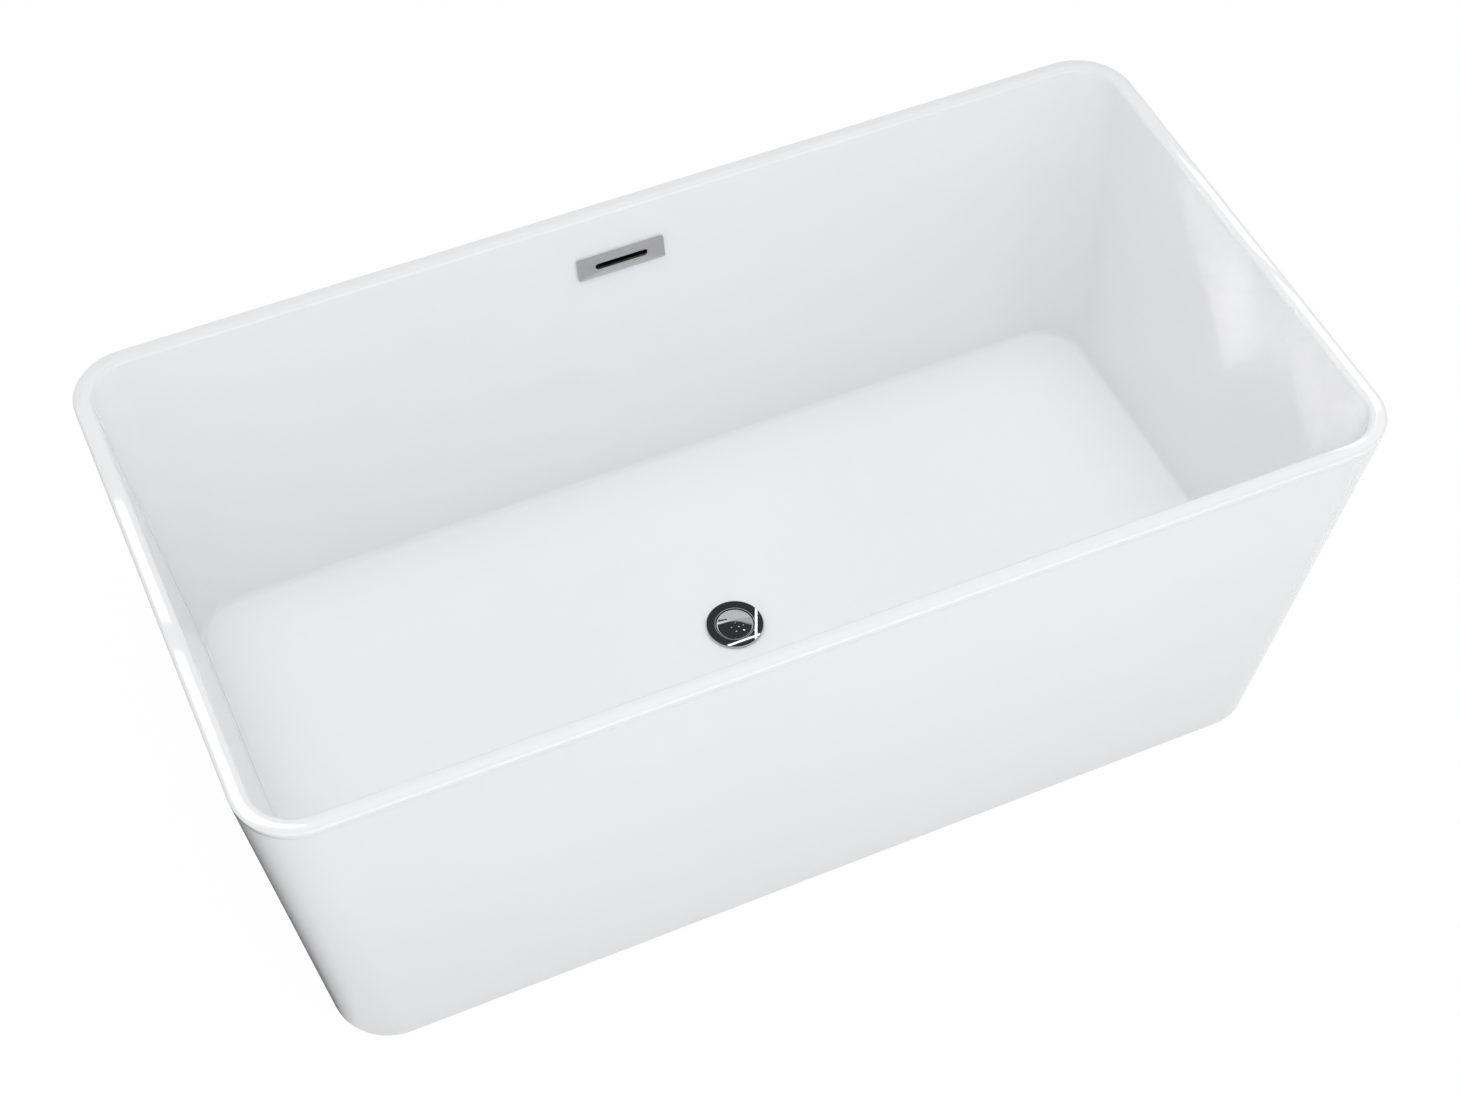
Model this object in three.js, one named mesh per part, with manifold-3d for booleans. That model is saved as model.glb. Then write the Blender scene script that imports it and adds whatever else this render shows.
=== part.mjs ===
// Freestanding bathtub: a seamless-looking double-walled acrylic tub on a levelled steel frame,
// with a slotted overflow in its back wall and a push-to-open drain in its floor.
// Millimetres, +Z up, +X along the tub, +Y towards the wall that holds the overflow.
// The origin is on the ground, below the middle of the rim.
import * as THREE from "three";
import { mergeVertices } from "three/addons/utils/BufferGeometryUtils.js";
import Module from "manifold-3d";

const wasm = await Module();
wasm.setup();

// ---------- driving dimensions ----------
const LENGTH = 1500; // rim, outside
const WIDTH = 790;
const HEIGHT = 605;
const BASE_LENGTH = 1352; // outline of the outer wall where it would meet the ground
const BASE_WIDTH = 678;
const OUTER_CORNER = 79; // plan radius of the outer corners, the same at rim and base
const RIM_WIDTH = 22.6;
const RIM_EDGE = 4; // rounding of both rim edges
const SHEET = 3.5; // acrylic sheet of the basin
const GAP = 0.3; // assembly gap between touching pieces

const FLOOR = { halfLength: 673, front: -333, back: 289.5, corner: 60, z: 179, fillet: 12 };
const RIM_INNER_CORNER = OUTER_CORNER - RIM_WIDTH;
const CORNER_STEPS = 8;

const DRAIN = { y: -22, z: 168.5, flangeRadius: 40, barrelRadius: 20.5, holeRadius: 28.5, landing: 52 };
const BACKING = { thickness: 2.5, top: HEIGHT - 20, bottom: 160.8 };
const SKIRT = { thickness: 4, bottom: 3, returnWidth: 28, lip: 12, tongue: 3.2 };
const BOARD = { length: 1180, width: 420, thickness: 16, top: BACKING.bottom - GAP, hole: 62 };
const TUBE = { side: 25, wall: 1.8, top: BOARD.top - BOARD.thickness - GAP };
const FRAME = { endX: 520, innerX: 140, railOffset: 180, endReach: 300 };
const FOOT = { stud: 5.8, studTop: 140, pad: 22, padHeight: 14, nutFlats: 19, nutHeight: 9, clearance: 0.4 };
const STRAP = { width: 40, thickness: 3, foot: 28 }; // strap from a frame end down to the skirt's return
const OVERFLOW = { z: 529.6, width: 125, height: 32, proud: 5, slotLength: 75, slotHeight: 6 };
const HOSE = { outer: 11.2, inner: 9.4, spigot: 9, spigotBore: 7.5, bend: 71, portZ: 94 };

// ---------- materials ----------
function finish(color, roughness, metalness = 0) {
  return new THREE.MeshStandardMaterial({ color, roughness, metalness });
}
const acrylic = finish(0xf4f5f6, 0.12);
const fibreglass = finish(0xd9d2bd, 0.7);
const plywood = finish(0xb98f5f, 0.75);
const galvanised = finish(0x9aa0a4, 0.45, 0.9);
const zinc = finish(0xb9bcbd, 0.35, 1);
const chrome = finish(0xc4c6c8, 0.06, 1);
const brass = finish(0xb8924a, 0.3, 1);
const stainless = finish(0xa9abad, 0.3, 1);
const rubber = finish(0x1c1c1d, 0.8);
const plastic = finish(0x2b2c2e, 0.5);
const hosePlastic = finish(0xd7d9da, 0.45);

// ---------- solids ----------
function solidOf(geometry) {
  const bare = geometry.clone();
  bare.deleteAttribute("normal");
  bare.deleteAttribute("uv");
  const merged = mergeVertices(bare, 1e-3);
  return new wasm.Manifold(
    new wasm.Mesh({
      numProp: 3,
      vertProperties: new Float32Array(merged.attributes.position.array),
      triVerts: new Uint32Array(merged.index.array),
    }),
  );
}

function geometryOf(solid) {
  const mesh = solid.getMesh();
  const geometry = new THREE.BufferGeometry();
  geometry.setAttribute("position", new THREE.BufferAttribute(mesh.vertProperties, 3));
  geometry.setIndex(new THREE.BufferAttribute(mesh.triVerts, 1));
  geometry.computeVertexNormals();
  return geometry;
}

function joined(...geometries) {
  return geometryOf(geometries.map(solidOf).reduce((a, b) => a.add(b)));
}

function cut(geometry, ...tools) {
  return geometryOf(tools.map(solidOf).reduce((a, b) => a.subtract(b), solidOf(geometry)));
}

function block(x0, x1, y0, y1, z0, z1) {
  const box = new THREE.BoxGeometry(x1 - x0, y1 - y0, z1 - z0);
  return box.translate((x0 + x1) / 2, (y0 + y1) / 2, (z0 + z1) / 2);
}

// A solid of revolution about Z. The profile lists [radius, z], anticlockwise with the axis on its left.
function turned(profile, segments = 24) {
  const points = profile.map(([r, z]) => new THREE.Vector2(r, z));
  return new THREE.LatheGeometry(points, segments).rotateX(Math.PI / 2);
}

function ring(inner, outer, z0, z1, segments = 24) {
  return turned([[inner, z0], [outer, z0], [outer, z1], [inner, z1], [inner, z0]], segments);
}

function disc(radius, z0, z1, segments = 24) {
  return turned([[0, z0], [radius, z0], [radius, z1], [0, z1]], segments);
}

function hexagon(flats, z0, z1) {
  return disc(flats / Math.sqrt(3), z0, z1, 6);
}

// A plate in XY with rounded corners, from z0 to z1.
function plate(width, height, corner, z0, z1) {
  const x = width / 2 - corner;
  const y = height / 2 - corner;
  const outline = new THREE.Shape();
  outline.absarc(x, y, corner, 0, Math.PI / 2);
  outline.absarc(-x, y, corner, Math.PI / 2, Math.PI);
  outline.absarc(-x, -y, corner, Math.PI, 1.5 * Math.PI);
  outline.absarc(x, -y, corner, 1.5 * Math.PI, 2 * Math.PI);
  const extruded = new THREE.ExtrudeGeometry(outline, {
    depth: z1 - z0,
    bevelEnabled: false,
    curveSegments: 4,
  });
  return extruded.translate(0, 0, z0);
}

// ---------- plan outlines ----------
// An outline is a rounded rectangle at a height: {halfLength, front, back, corner, z}.
function blend(a, b, t) {
  const mixed = {};
  for (const key of ["halfLength", "front", "back", "corner", "z"]) {
    mixed[key] = a[key] + (b[key] - a[key]) * t;
  }
  return mixed;
}

function inset(outline, distance, z = outline.z) {
  return {
    halfLength: outline.halfLength - distance,
    front: outline.front + distance,
    back: outline.back - distance,
    corner: outline.corner - distance,
    z,
  };
}

function outlinePoints({ halfLength, front, back, corner, z }) {
  const points = [];
  const x = halfLength - corner;
  const centres = [[x, back - corner], [-x, back - corner], [-x, front + corner], [x, front + corner]];
  centres.forEach(([cx, cy], quarter) => {
    for (let step = 0; step <= CORNER_STEPS; step++) {
      const angle = (quarter + step / CORNER_STEPS) * (Math.PI / 2);
      points.push([cx + corner * Math.cos(angle), cy + corner * Math.sin(angle), z]);
    }
  });
  return points;
}

// Skins a list of outlines. An open loft is capped at both ends; a closed one joins its last to its first.
function loft(outlines, closed) {
  const loops = outlines.map(outlinePoints);
  const count = loops[0].length;
  const positions = loops.flat(2);
  const faces = [];
  const spans = closed ? loops.length : loops.length - 1;
  for (let k = 0; k < spans; k++) {
    const low = k * count;
    const high = ((k + 1) % loops.length) * count;
    for (let i = 0; i < count; i++) {
      const j = (i + 1) % count;
      faces.push(low + i, low + j, high + j, low + i, high + j, high + i);
    }
  }
  if (!closed) {
    const last = (loops.length - 1) * count;
    for (let i = 1; i < count - 1; i++) {
      faces.push(0, i + 1, i);
      faces.push(last, last + i, last + i + 1);
    }
  }
  const geometry = new THREE.BufferGeometry();
  geometry.setAttribute("position", new THREE.Float32BufferAttribute(positions, 3));
  geometry.setIndex(faces);
  geometry.computeVertexNormals();
  return geometry;
}

const groundOutline = {
  halfLength: BASE_LENGTH / 2, front: -BASE_WIDTH / 2, back: BASE_WIDTH / 2, corner: OUTER_CORNER, z: 0,
};
const rimOutline = {
  halfLength: LENGTH / 2, front: -WIDTH / 2, back: WIDTH / 2, corner: OUTER_CORNER, z: HEIGHT,
};
const rimInner = { ...inset(rimOutline, RIM_WIDTH), corner: RIM_INNER_CORNER };

// The outer face of the tub at a height, moved inwards by a distance.
function outerAt(z, distance) {
  return inset(blend(groundOutline, rimOutline, z / HEIGHT), distance);
}

// The wet face of the basin's wall at a height, moved outwards by a distance.
function innerAt(z, distance) {
  return inset(blend(rimInner, FLOOR, (HEIGHT - z) / (HEIGHT - FLOOR.z)), -distance);
}

// The foot of the basin's wall, from its straight part into the floor, on a surface lying a distance outside the wet face.
function floorFillet(distance) {
  const steps = 3;
  const radius = FLOOR.fillet + distance;
  const outlines = [];
  for (let step = 0; step <= steps; step++) {
    const angle = (step / steps) * (Math.PI / 2);
    const z = FLOOR.z + FLOOR.fillet - radius * Math.sin(angle);
    outlines.push(inset(innerAt(Math.max(z, FLOOR.z), distance), radius * (1 - Math.cos(angle)), z));
  }
  return outlines;
}

// The level patch of floor that the drain sits on.
function drainLanding(distance) {
  return {
    halfLength: DRAIN.landing, front: DRAIN.y - DRAIN.landing, back: DRAIN.y + DRAIN.landing,
    corner: DRAIN.landing - 6, z: DRAIN.z - distance,
  };
}

// ---------- overflow frame ----------
// Local frame on the wet face of the back wall: +Z into the tub, +Y up the wall.
const backWallSlope = (rimInner.back - FLOOR.back) / (HEIGHT - FLOOR.z);
const backWallTilt = Math.atan(backWallSlope);
const overflowPlace = new THREE.Object3D();
overflowPlace.position.set(0, innerAt(OVERFLOW.z, 0).back, OVERFLOW.z);
overflowPlace.rotation.x = Math.PI / 2 - backWallTilt;
overflowPlace.updateMatrix();

const overflowHole = { width: 92, height: 20, screwX: 52, screwHole: 2.4 };
const dryFace = -(SHEET + GAP + BACKING.thickness); // back of the wall in that frame

function overflowCutters() {
  const tools = [plate(overflowHole.width, overflowHole.height, 4, -40, 10)];
  for (const x of [-overflowHole.screwX, overflowHole.screwX]) {
    tools.push(disc(overflowHole.screwHole, -40, 10, 12).translate(x, 0, 0));
  }
  return tools.map((tool) => tool.applyMatrix4(overflowPlace.matrix));
}

// ---------- shells ----------
function basinShell() {
  const roundIn = RIM_EDGE * (1 - Math.SQRT1_2);
  const shell = loft([
    drainLanding(SHEET),
    ...floorFillet(SHEET).reverse(),
    innerAt(HEIGHT - SHEET, SHEET),
    outerAt(HEIGHT - SHEET, SHEET),
    outerAt(HEIGHT - SKIRT.lip, SHEET),
    outerAt(HEIGHT - SKIRT.lip, 0),
    outerAt(HEIGHT - RIM_EDGE, 0),
    outerAt(HEIGHT - roundIn, roundIn),
    outerAt(HEIGHT, RIM_EDGE),
    innerAt(HEIGHT, RIM_EDGE),
    innerAt(HEIGHT - roundIn, roundIn),
    innerAt(HEIGHT - RIM_EDGE, 0),
    ...floorFillet(0),
    drainLanding(0),
  ], false);
  const drainHole = disc(DRAIN.holeRadius, 100, 200, 32).translate(0, DRAIN.y, 0);
  return cut(shell, drainHole, ...overflowCutters());
}

function basinBacking() {
  const near = SHEET + GAP;
  const far = near + BACKING.thickness;
  const bottomEdge = inset(FLOOR, FLOOR.fillet * 0.5, BACKING.bottom);
  const shell = loft([
    bottomEdge,
    inset(innerAt(FLOOR.z, far), 1, BACKING.bottom + 7),
    innerAt(FLOOR.z + FLOOR.fillet, far),
    innerAt(BACKING.top, far),
    innerAt(BACKING.top, near),
    ...floorFillet(near),
    drainLanding(near),
  ], false);
  const drainHole = disc(DRAIN.holeRadius, 100, 200, 32).translate(0, DRAIN.y, 0);
  return cut(shell, drainHole, ...overflowCutters());
}

function outerSkirt() {
  const top = HEIGHT - SKIRT.lip - GAP;
  const tongueTop = HEIGHT - SHEET - GAP;
  const tongueFace = SHEET + GAP;
  const tongueBack = tongueFace + SKIRT.tongue;
  return loft([
    outerAt(SKIRT.bottom, 0),
    outerAt(top, 0),
    outerAt(top, tongueFace),
    outerAt(tongueTop, tongueFace),
    outerAt(tongueTop, tongueBack),
    outerAt(top - 16, tongueBack),
    outerAt(top - 24, SKIRT.thickness),
    outerAt(SKIRT.bottom + SKIRT.thickness, SKIRT.thickness),
    outerAt(SKIRT.bottom + SKIRT.thickness, SKIRT.returnWidth),
    outerAt(SKIRT.bottom, SKIRT.returnWidth),
  ], true);
}

// ---------- base ----------
const railY = [DRAIN.y - FRAME.railOffset, DRAIN.y + FRAME.railOffset];
const tubeBottom = TUBE.top - TUBE.side;
const boardScrewX = 330;
const boardScrew = { shank: 3, head: 7, bite: 12 };

function floorBoard() {
  const bottom = BOARD.top - BOARD.thickness;
  const board = plate(BOARD.length, BOARD.width, 20, bottom, BOARD.top).translate(0, DRAIN.y, 0);
  const tools = [disc(BOARD.hole, bottom - 5, BOARD.top + 5, 32).translate(0, DRAIN.y, 0)];
  for (const x of [-boardScrewX, boardScrewX]) {
    for (const y of railY) {
      tools.push(disc(boardScrew.shank + GAP, bottom - 5, bottom + boardScrew.bite + 1, 10).translate(x, y, 0));
    }
  }
  return cut(board, ...tools);
}

// A square steel tube along X or Y, open at both ends.
function squareTube(alongX, from, to, across) {
  const half = TUBE.side / 2;
  const bore = half - TUBE.wall;
  const low = tubeBottom + TUBE.wall;
  const high = TUBE.top - TUBE.wall;
  if (alongX) {
    return cut(
      block(from, to, across - half, across + half, tubeBottom, TUBE.top),
      block(from - 5, to + 5, across - bore, across + bore, low, high),
    );
  }
  return cut(
    block(across - half, across + half, from, to, tubeBottom, TUBE.top),
    block(across - bore, across + bore, from - 5, to + 5, low, high),
  );
}

function frameRail(y) {
  const reach = FRAME.endX - TUBE.side / 2 - GAP;
  const tools = [-boardScrewX, boardScrewX].map((x) =>
    disc(boardScrew.shank + GAP, tubeBottom - 5, TUBE.top + 5, 10).translate(x, y, 0),
  );
  return cut(squareTube(true, -reach, reach, y), ...tools);
}

// A crossbar with a nut welded under it for each foot that it carries.
function crossbarWithNuts(tube, feet) {
  const nuts = feet.map(([x, y]) => hexagon(FOOT.nutFlats, tubeBottom - FOOT.nutHeight, tubeBottom + 0.5).translate(x, y, 0));
  const holes = feet.map(([x, y]) =>
    disc(FOOT.stud + FOOT.clearance, tubeBottom - 20, tubeBottom + 5, 16).translate(x, y, 0),
  );
  return cut(joined(tube, ...nuts), ...holes);
}

// The strap welded to one end of an end crossbar: down the inside of the skirt and out over its return.
function skirtStrap(x, side) {
  const inner = side * FRAME.endReach;
  const outer = side * (FRAME.endReach + STRAP.thickness);
  const toe = side * (FRAME.endReach + STRAP.foot);
  const low = SKIRT.bottom + SKIRT.thickness + GAP;
  const span = (a, b) => [Math.min(a, b), Math.max(a, b)];
  const half = STRAP.width / 2;
  const hole = disc(2.6, 0, 30, 10).translate(x, side * strapScrewY, 0);
  return cut(
    joined(
      block(x - half, x + half, ...span(inner - side * 0.5, outer), low, TUBE.top - 2),
      block(x - half, x + half, ...span(inner, toe), low, low + STRAP.thickness),
    ),
    hole,
  );
}
const strapScrewY = FRAME.endReach + STRAP.foot - 9;

const cornerFootY = 230;
const endFeet = (x) => [[x, -cornerFootY], [x, cornerFootY]];
const innerFeet = (x) => [[x, DRAIN.y]];

function endCrossbar(x) {
  const tube = squareTube(false, -FRAME.endReach, FRAME.endReach, x);
  return joined(crossbarWithNuts(tube, endFeet(x)), skirtStrap(x, -1), skirtStrap(x, 1));
}

function innerCrossbar(x) {
  const reach = FRAME.railOffset - TUBE.side / 2 - GAP;
  return crossbarWithNuts(squareTube(false, DRAIN.y - reach, DRAIN.y + reach, x), innerFeet(x));
}

function boardScrewSolid() {
  const head = tubeBottom - GAP;
  const tip = BOARD.top - BOARD.thickness + boardScrew.bite;
  return turned([
    [0, head - 4], [boardScrew.head, head - 4], [boardScrew.head, head],
    [boardScrew.shank, head], [boardScrew.shank, tip - 4], [0, tip],
  ], 12);
}

function strapScrewSolid() {
  const seat = SKIRT.bottom + SKIRT.thickness + GAP + STRAP.thickness + GAP;
  return turned([[0, SKIRT.bottom + SKIRT.thickness + GAP], [2.2, SKIRT.bottom + SKIRT.thickness + GAP],
    [2.2, seat], [5, seat], [4, seat + 3], [0, seat + 3.4]], 12);
}

// ---------- levelling feet ----------
function footStud() {
  const low = 7 + GAP;
  return joined(disc(FOOT.stud, low, FOOT.studTop, 16), hexagon(16, FOOT.padHeight + 6, FOOT.padHeight + 14));
}

function footPad() {
  const bore = FOOT.stud + FOOT.clearance;
  return turned([[0, 0], [FOOT.pad - 1, 0], [FOOT.pad, 1], [FOOT.pad, 4], [11, 9], [10, FOOT.padHeight],
    [bore, FOOT.padHeight], [bore, 7], [0, 7]], 24);
}

function footLocknut() {
  const top = tubeBottom - FOOT.nutHeight - GAP;
  return cut(hexagon(FOOT.nutFlats, top - 6, top), disc(FOOT.stud + FOOT.clearance, top - 20, top + 20, 16));
}

// ---------- drain ----------
// Heights in these profiles are above the drain's landing; each piece is moved to the drain afterwards.
const barrelFoot = -38;
const boreRadius = 18;

function drainFlange() {
  const edge = DRAIN.flangeRadius;
  const barrel = DRAIN.barrelRadius;
  const neck = DRAIN.holeRadius - 0.7;
  const body = turned([
    [boreRadius, barrelFoot], [barrel, barrelFoot], [barrel, -7], [neck, -1.5], [neck, 1.6], [edge - 1, 1.6],
    [edge, 2.4], [edge - 0.4, 3.7], [edge - 1.8, 4.4], [33, 4.6], [31.6, 4.2], [26.8, 3], [26, 1.4],
    [20.5, -2.2], [boreRadius, -4.5], [boreRadius, barrelFoot],
  ], 40);
  const hub = disc(11, -14, -10, 20);
  const spokes = [0, 1].map((k) => block(-19, 19, -2, 2, -14, -10).rotateZ((k * Math.PI) / 2 + Math.PI / 4));
  return cut(joined(body, hub, ...spokes), disc(8, -20, 0, 20));
}

const stopperRadius = 25.5;

function stopperCap() {
  const dome = [];
  const steps = 6;
  for (let step = 0; step <= steps; step++) {
    const t = step / steps;
    dome.push([24.6 * (1 - t), 4.1 + 2.5 * Math.sin((t * Math.PI) / 2)]);
  }
  return turned([
    [0, 3.6], [3.3, 3.6], [3.3, -1.4], [13.7, -1.4], [13.7, 1.6], [21.5, 1.6],
    [stopperRadius - 0.4, 2.4], [stopperRadius, 3.1], ...dome,
  ], 40);
}

function stopperSeal() {
  return turned([[14.1, -1.1], [20.2, -1.9], [21.2, -1.2], [20.9, 1.3], [14.1, 1.3], [14.1, -1.1]], 32);
}

const collarTop = -18;
const cartridgeFloor = -40.5;

function stopperStem() {
  return turned([[0, -32], [3, -32], [3, collarTop - 2], [5.2, collarTop - 2], [5.2, collarTop],
    [3, collarTop], [3, 3.3], [0, 3.3]], 16);
}

function stopperCartridge() {
  return turned([[0, -42], [7.7, -42], [7.7, -5.5], [3.4, -5.5], [3.4, -7], [5.6, -7],
    [5.6, cartridgeFloor], [0, cartridgeFloor]], 20);
}

class SpringCurve extends THREE.Curve {
  constructor(radius, low, high, turns) {
    super();
    Object.assign(this, { radius, low, high, turns });
  }
  getPoint(t, target = new THREE.Vector3()) {
    const angle = 2 * Math.PI * this.turns * t;
    const z = this.low + (this.high - this.low) * t;
    return target.set(this.radius * Math.cos(angle), this.radius * Math.sin(angle), z);
  }
}

function circleShape(radius, segments, boreSize = 0) {
  const around = (r) => [...Array(segments).keys()].map((k) => {
    const angle = (2 * Math.PI * k) / segments;
    return new THREE.Vector2(r * Math.cos(angle), r * Math.sin(angle));
  });
  const shape = new THREE.Shape(around(radius));
  if (boreSize > 0) shape.holes.push(new THREE.Path(around(boreSize)));
  return shape;
}

const springWire = 0.45;

function stopperSpring() {
  const low = cartridgeFloor + GAP + springWire;
  const high = collarTop - 2 - GAP - springWire;
  const turns = 6;
  return new THREE.ExtrudeGeometry(circleShape(springWire, 5), {
    extrudePath: new SpringCurve(4.3, low, high, turns), steps: turns * 10, bevelEnabled: false,
  });
}

// The waste body clamps up against the floor: a chamber with a side port for the overflow and a socket below.
const washerTop = BACKING.bottom - GAP;
const wasteTop = washerTop - 3 - GAP;
const socketFoot = 62;

function wasteBody() {
  const port = { outer: HOSE.spigot, bore: HOSE.spigotBore, reach: 62 };
  const along = (radius, from, to) => disc(radius, from, to, 20).rotateX(-Math.PI / 2).translate(0, 0, HOSE.portZ);
  const chamber = turned([[0, socketFoot], [24, socketFoot], [24, 84], [27, 88], [27, wasteTop - 6],
    [36, wasteTop - 6], [36, wasteTop], [0, wasteTop]], 28);
  const bore = turned([[0, socketFoot - 1], [19.4, socketFoot - 1], [19.4, 82], [17, 82], [17, 88],
    [21, 92], [21, wasteTop + 1], [0, wasteTop + 1]], 28);
  return cut(joined(chamber, along(port.outer, 18, port.reach)), bore, along(port.bore, 10, port.reach + 5))
    .translate(0, DRAIN.y, 0);
}

function tailpiece() {
  return ring(17.4, 19, 10, 81).translate(0, DRAIN.y, 0);
}

function tailpieceNut() {
  const grip = [...Array(8).keys()].map((k) =>
    block(26, 30, -2.5, 2.5, 55, 75).rotateZ((k * Math.PI) / 4));
  const body = turned([[19.4, 54], [28, 54], [28, 76], [24.4, 76], [24.4, 57], [19.4, 57], [19.4, 54]], 24);
  return joined(body, ...grip).translate(0, DRAIN.y, 0);
}

function tailpieceSeal() {
  return ring(19.3, 23.6, 57.3, socketFoot - GAP).translate(0, DRAIN.y, 0);
}

// ---------- overflow ----------
function overflowCover() {
  const { width, height, proud, slotLength, slotHeight } = OVERFLOW;
  return cut(
    plate(width, height, 1.5, GAP, proud),
    plate(width - 4, height - 4, 1, GAP - 1, proud - 1.8),
    plate(slotLength, slotHeight, slotHeight / 2 - 0.01, 0, proud + 5),
  );
}

const bezelThickness = 1.2;

function overflowBezel() {
  const bezel = plate(118, 25, 2, GAP, GAP + bezelThickness);
  const holes = [-1, 1].map((s) => disc(2.3, -5, 5, 12).translate(s * overflowHole.screwX, 0, 0));
  return cut(bezel, plate(84, 14, 3, -5, 5), ...holes);
}

function overflowScrewSolid() {
  const seat = 2 * GAP + bezelThickness;
  return turned([[0, -14], [1.9, -14], [1.9, seat], [3.6, seat], [2.6, seat + 1.1], [0, seat + 1.1]], 12);
}

const gasketThickness = 1.5;
const flangeFace = dryFace - 2 * GAP - gasketThickness;

function overflowGasket() {
  const holes = [-1, 1].map((s) => disc(overflowHole.screwHole, -20, 5, 12).translate(s * overflowHole.screwX, 0, 0));
  return cut(
    plate(116, 36, 6, dryFace - GAP - gasketThickness, dryFace - GAP),
    plate(overflowHole.width, overflowHole.height, 4, -20, 5),
    ...holes,
  );
}

// Axis and ends of the overflow's spigot, in the overflow's frame.
const spigot = { depth: -21.5, top: -92, foot: -128 };

function overflowBody() {
  const flange = plate(116, 40, 6, flangeFace - 2, flangeFace);
  const hood = plate(100, 30, 4, -20.5, flangeFace - 1);
  const bosses = [-1, 1].map((s) => disc(4.5, -16, flangeFace - 1, 12).translate(s * overflowHole.screwX, 0, 0));
  const neck = block(-22, 22, -92, -12, -22, -8.9);
  const foot = block(-22, 22, -98, -82, -32, -8.9);
  const tube = (radius, from, to) => disc(radius, -from, -to, 20).rotateX(Math.PI / 2).translate(0, 0, spigot.depth);
  const outside = joined(flange, hood, ...bosses, neck, foot, tube(HOSE.spigot, spigot.top, spigot.foot));
  return cut(
    outside,
    plate(92, 22, 3, -18.7, 5),
    block(-20, 20, -90, -8, -20.2, -10.8),
    block(-20, 20, -96, -84, -30.2, -10.8),
    tube(HOSE.spigotBore, -94, spigot.foot - 5),
    ...[-1, 1].map((s) => disc(2.2, -15, 5, 12).translate(s * overflowHole.screwX, 0, 0)),
  );
}

// The hose hangs from the overflow's spigot beside the back wall, then turns under the floor to the waste body.
function hosePath() {
  const matrix = overflowPlace.matrix;
  const start = new THREE.Vector3(0, spigot.top - 10, spigot.depth).applyMatrix4(matrix);
  const down = new THREE.Vector3(0, -1, 0).transformDirection(matrix);
  const bendTop = HOSE.portZ + HOSE.bend;
  const turn = start.clone().addScaledVector(down, (bendTop - start.z) / down.z);
  const end = new THREE.Vector3(0, DRAIN.y + 36, HOSE.portZ);
  const path = new THREE.CurvePath();
  const bendEnd = new THREE.Vector3(0, turn.y - HOSE.bend, HOSE.portZ);
  const handle = HOSE.bend * 0.54;
  path.add(new THREE.LineCurve3(start, turn));
  path.add(new THREE.CubicBezierCurve3(
    turn, turn.clone().addScaledVector(down, handle), bendEnd.clone().add(new THREE.Vector3(0, handle, 0)), bendEnd,
  ));
  path.add(new THREE.LineCurve3(bendEnd, end));
  return path;
}

function overflowHose() {
  return new THREE.ExtrudeGeometry(circleShape(HOSE.outer, 12, HOSE.inner), {
    extrudePath: hosePath(), steps: 44, bevelEnabled: false,
  });
}

// A worm-drive clamp around the hose, with its axis on Z and its middle at the origin.
function hoseClamp() {
  const inner = HOSE.outer + GAP;
  const band = ring(inner, inner + 1, -4.5, 4.5, 24);
  const housing = block(inner + 0.4, inner + 4.4, -6, 6, -4, 4);
  return cut(joined(band, housing), disc(inner, -10, 10, 24));
}

// ---------- assembly ----------
const bathtub = new THREE.Group();

function add(parent, name, geometry, material, place = [0, 0, 0]) {
  const mesh = new THREE.Mesh(geometry, material);
  mesh.name = name;
  mesh.position.set(...place);
  parent.add(mesh);
  return mesh;
}

function addShells() {
  add(bathtub, "basin_shell", basinShell(), acrylic);
  add(bathtub, "basin_backing", basinBacking(), fibreglass);
  add(bathtub, "outer_skirt", outerSkirt(), acrylic);
  add(bathtub, "floor_board", floorBoard(), plywood);
}

function addFrame() {
  add(bathtub, "end_crossbar_left", endCrossbar(-FRAME.endX), galvanised);
  add(bathtub, "end_crossbar_right", endCrossbar(FRAME.endX), galvanised);
  add(bathtub, "inner_crossbar_left", innerCrossbar(-FRAME.innerX), galvanised);
  add(bathtub, "inner_crossbar_right", innerCrossbar(FRAME.innerX), galvanised);
  add(bathtub, "frame_rail_front", frameRail(railY[0]), galvanised);
  add(bathtub, "frame_rail_back", frameRail(railY[1]), galvanised);
  const corners = [[-1, -1], [1, -1], [-1, 1], [1, 1]];
  const tag = ([x, y]) => `${y < 0 ? "front" : "back"}_${x < 0 ? "left" : "right"}`;
  for (const corner of corners) {
    const [x, y] = corner;
    add(bathtub, `board_screw_${tag(corner)}`, boardScrewSolid(), zinc, [x * boardScrewX, railY[y < 0 ? 0 : 1], 0]);
    add(bathtub, `skirt_screw_${tag(corner)}`, strapScrewSolid(), zinc, [x * FRAME.endX, y * strapScrewY, 0]);
  }
}

function addFeet() {
  const feet = {
    front_left: [-FRAME.endX, -cornerFootY],
    front_right: [FRAME.endX, -cornerFootY],
    back_left: [-FRAME.endX, cornerFootY],
    back_right: [FRAME.endX, cornerFootY],
    middle_left: [-FRAME.innerX, DRAIN.y],
    middle_right: [FRAME.innerX, DRAIN.y],
  };
  for (const [name, [x, y]] of Object.entries(feet)) {
    add(bathtub, `foot_stud_${name}`, footStud(), zinc, [x, y, 0]);
    add(bathtub, `foot_pad_${name}`, footPad(), rubber, [x, y, 0]);
    add(bathtub, `foot_locknut_${name}`, footLocknut(), zinc, [x, y, 0]);
  }
}

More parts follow.
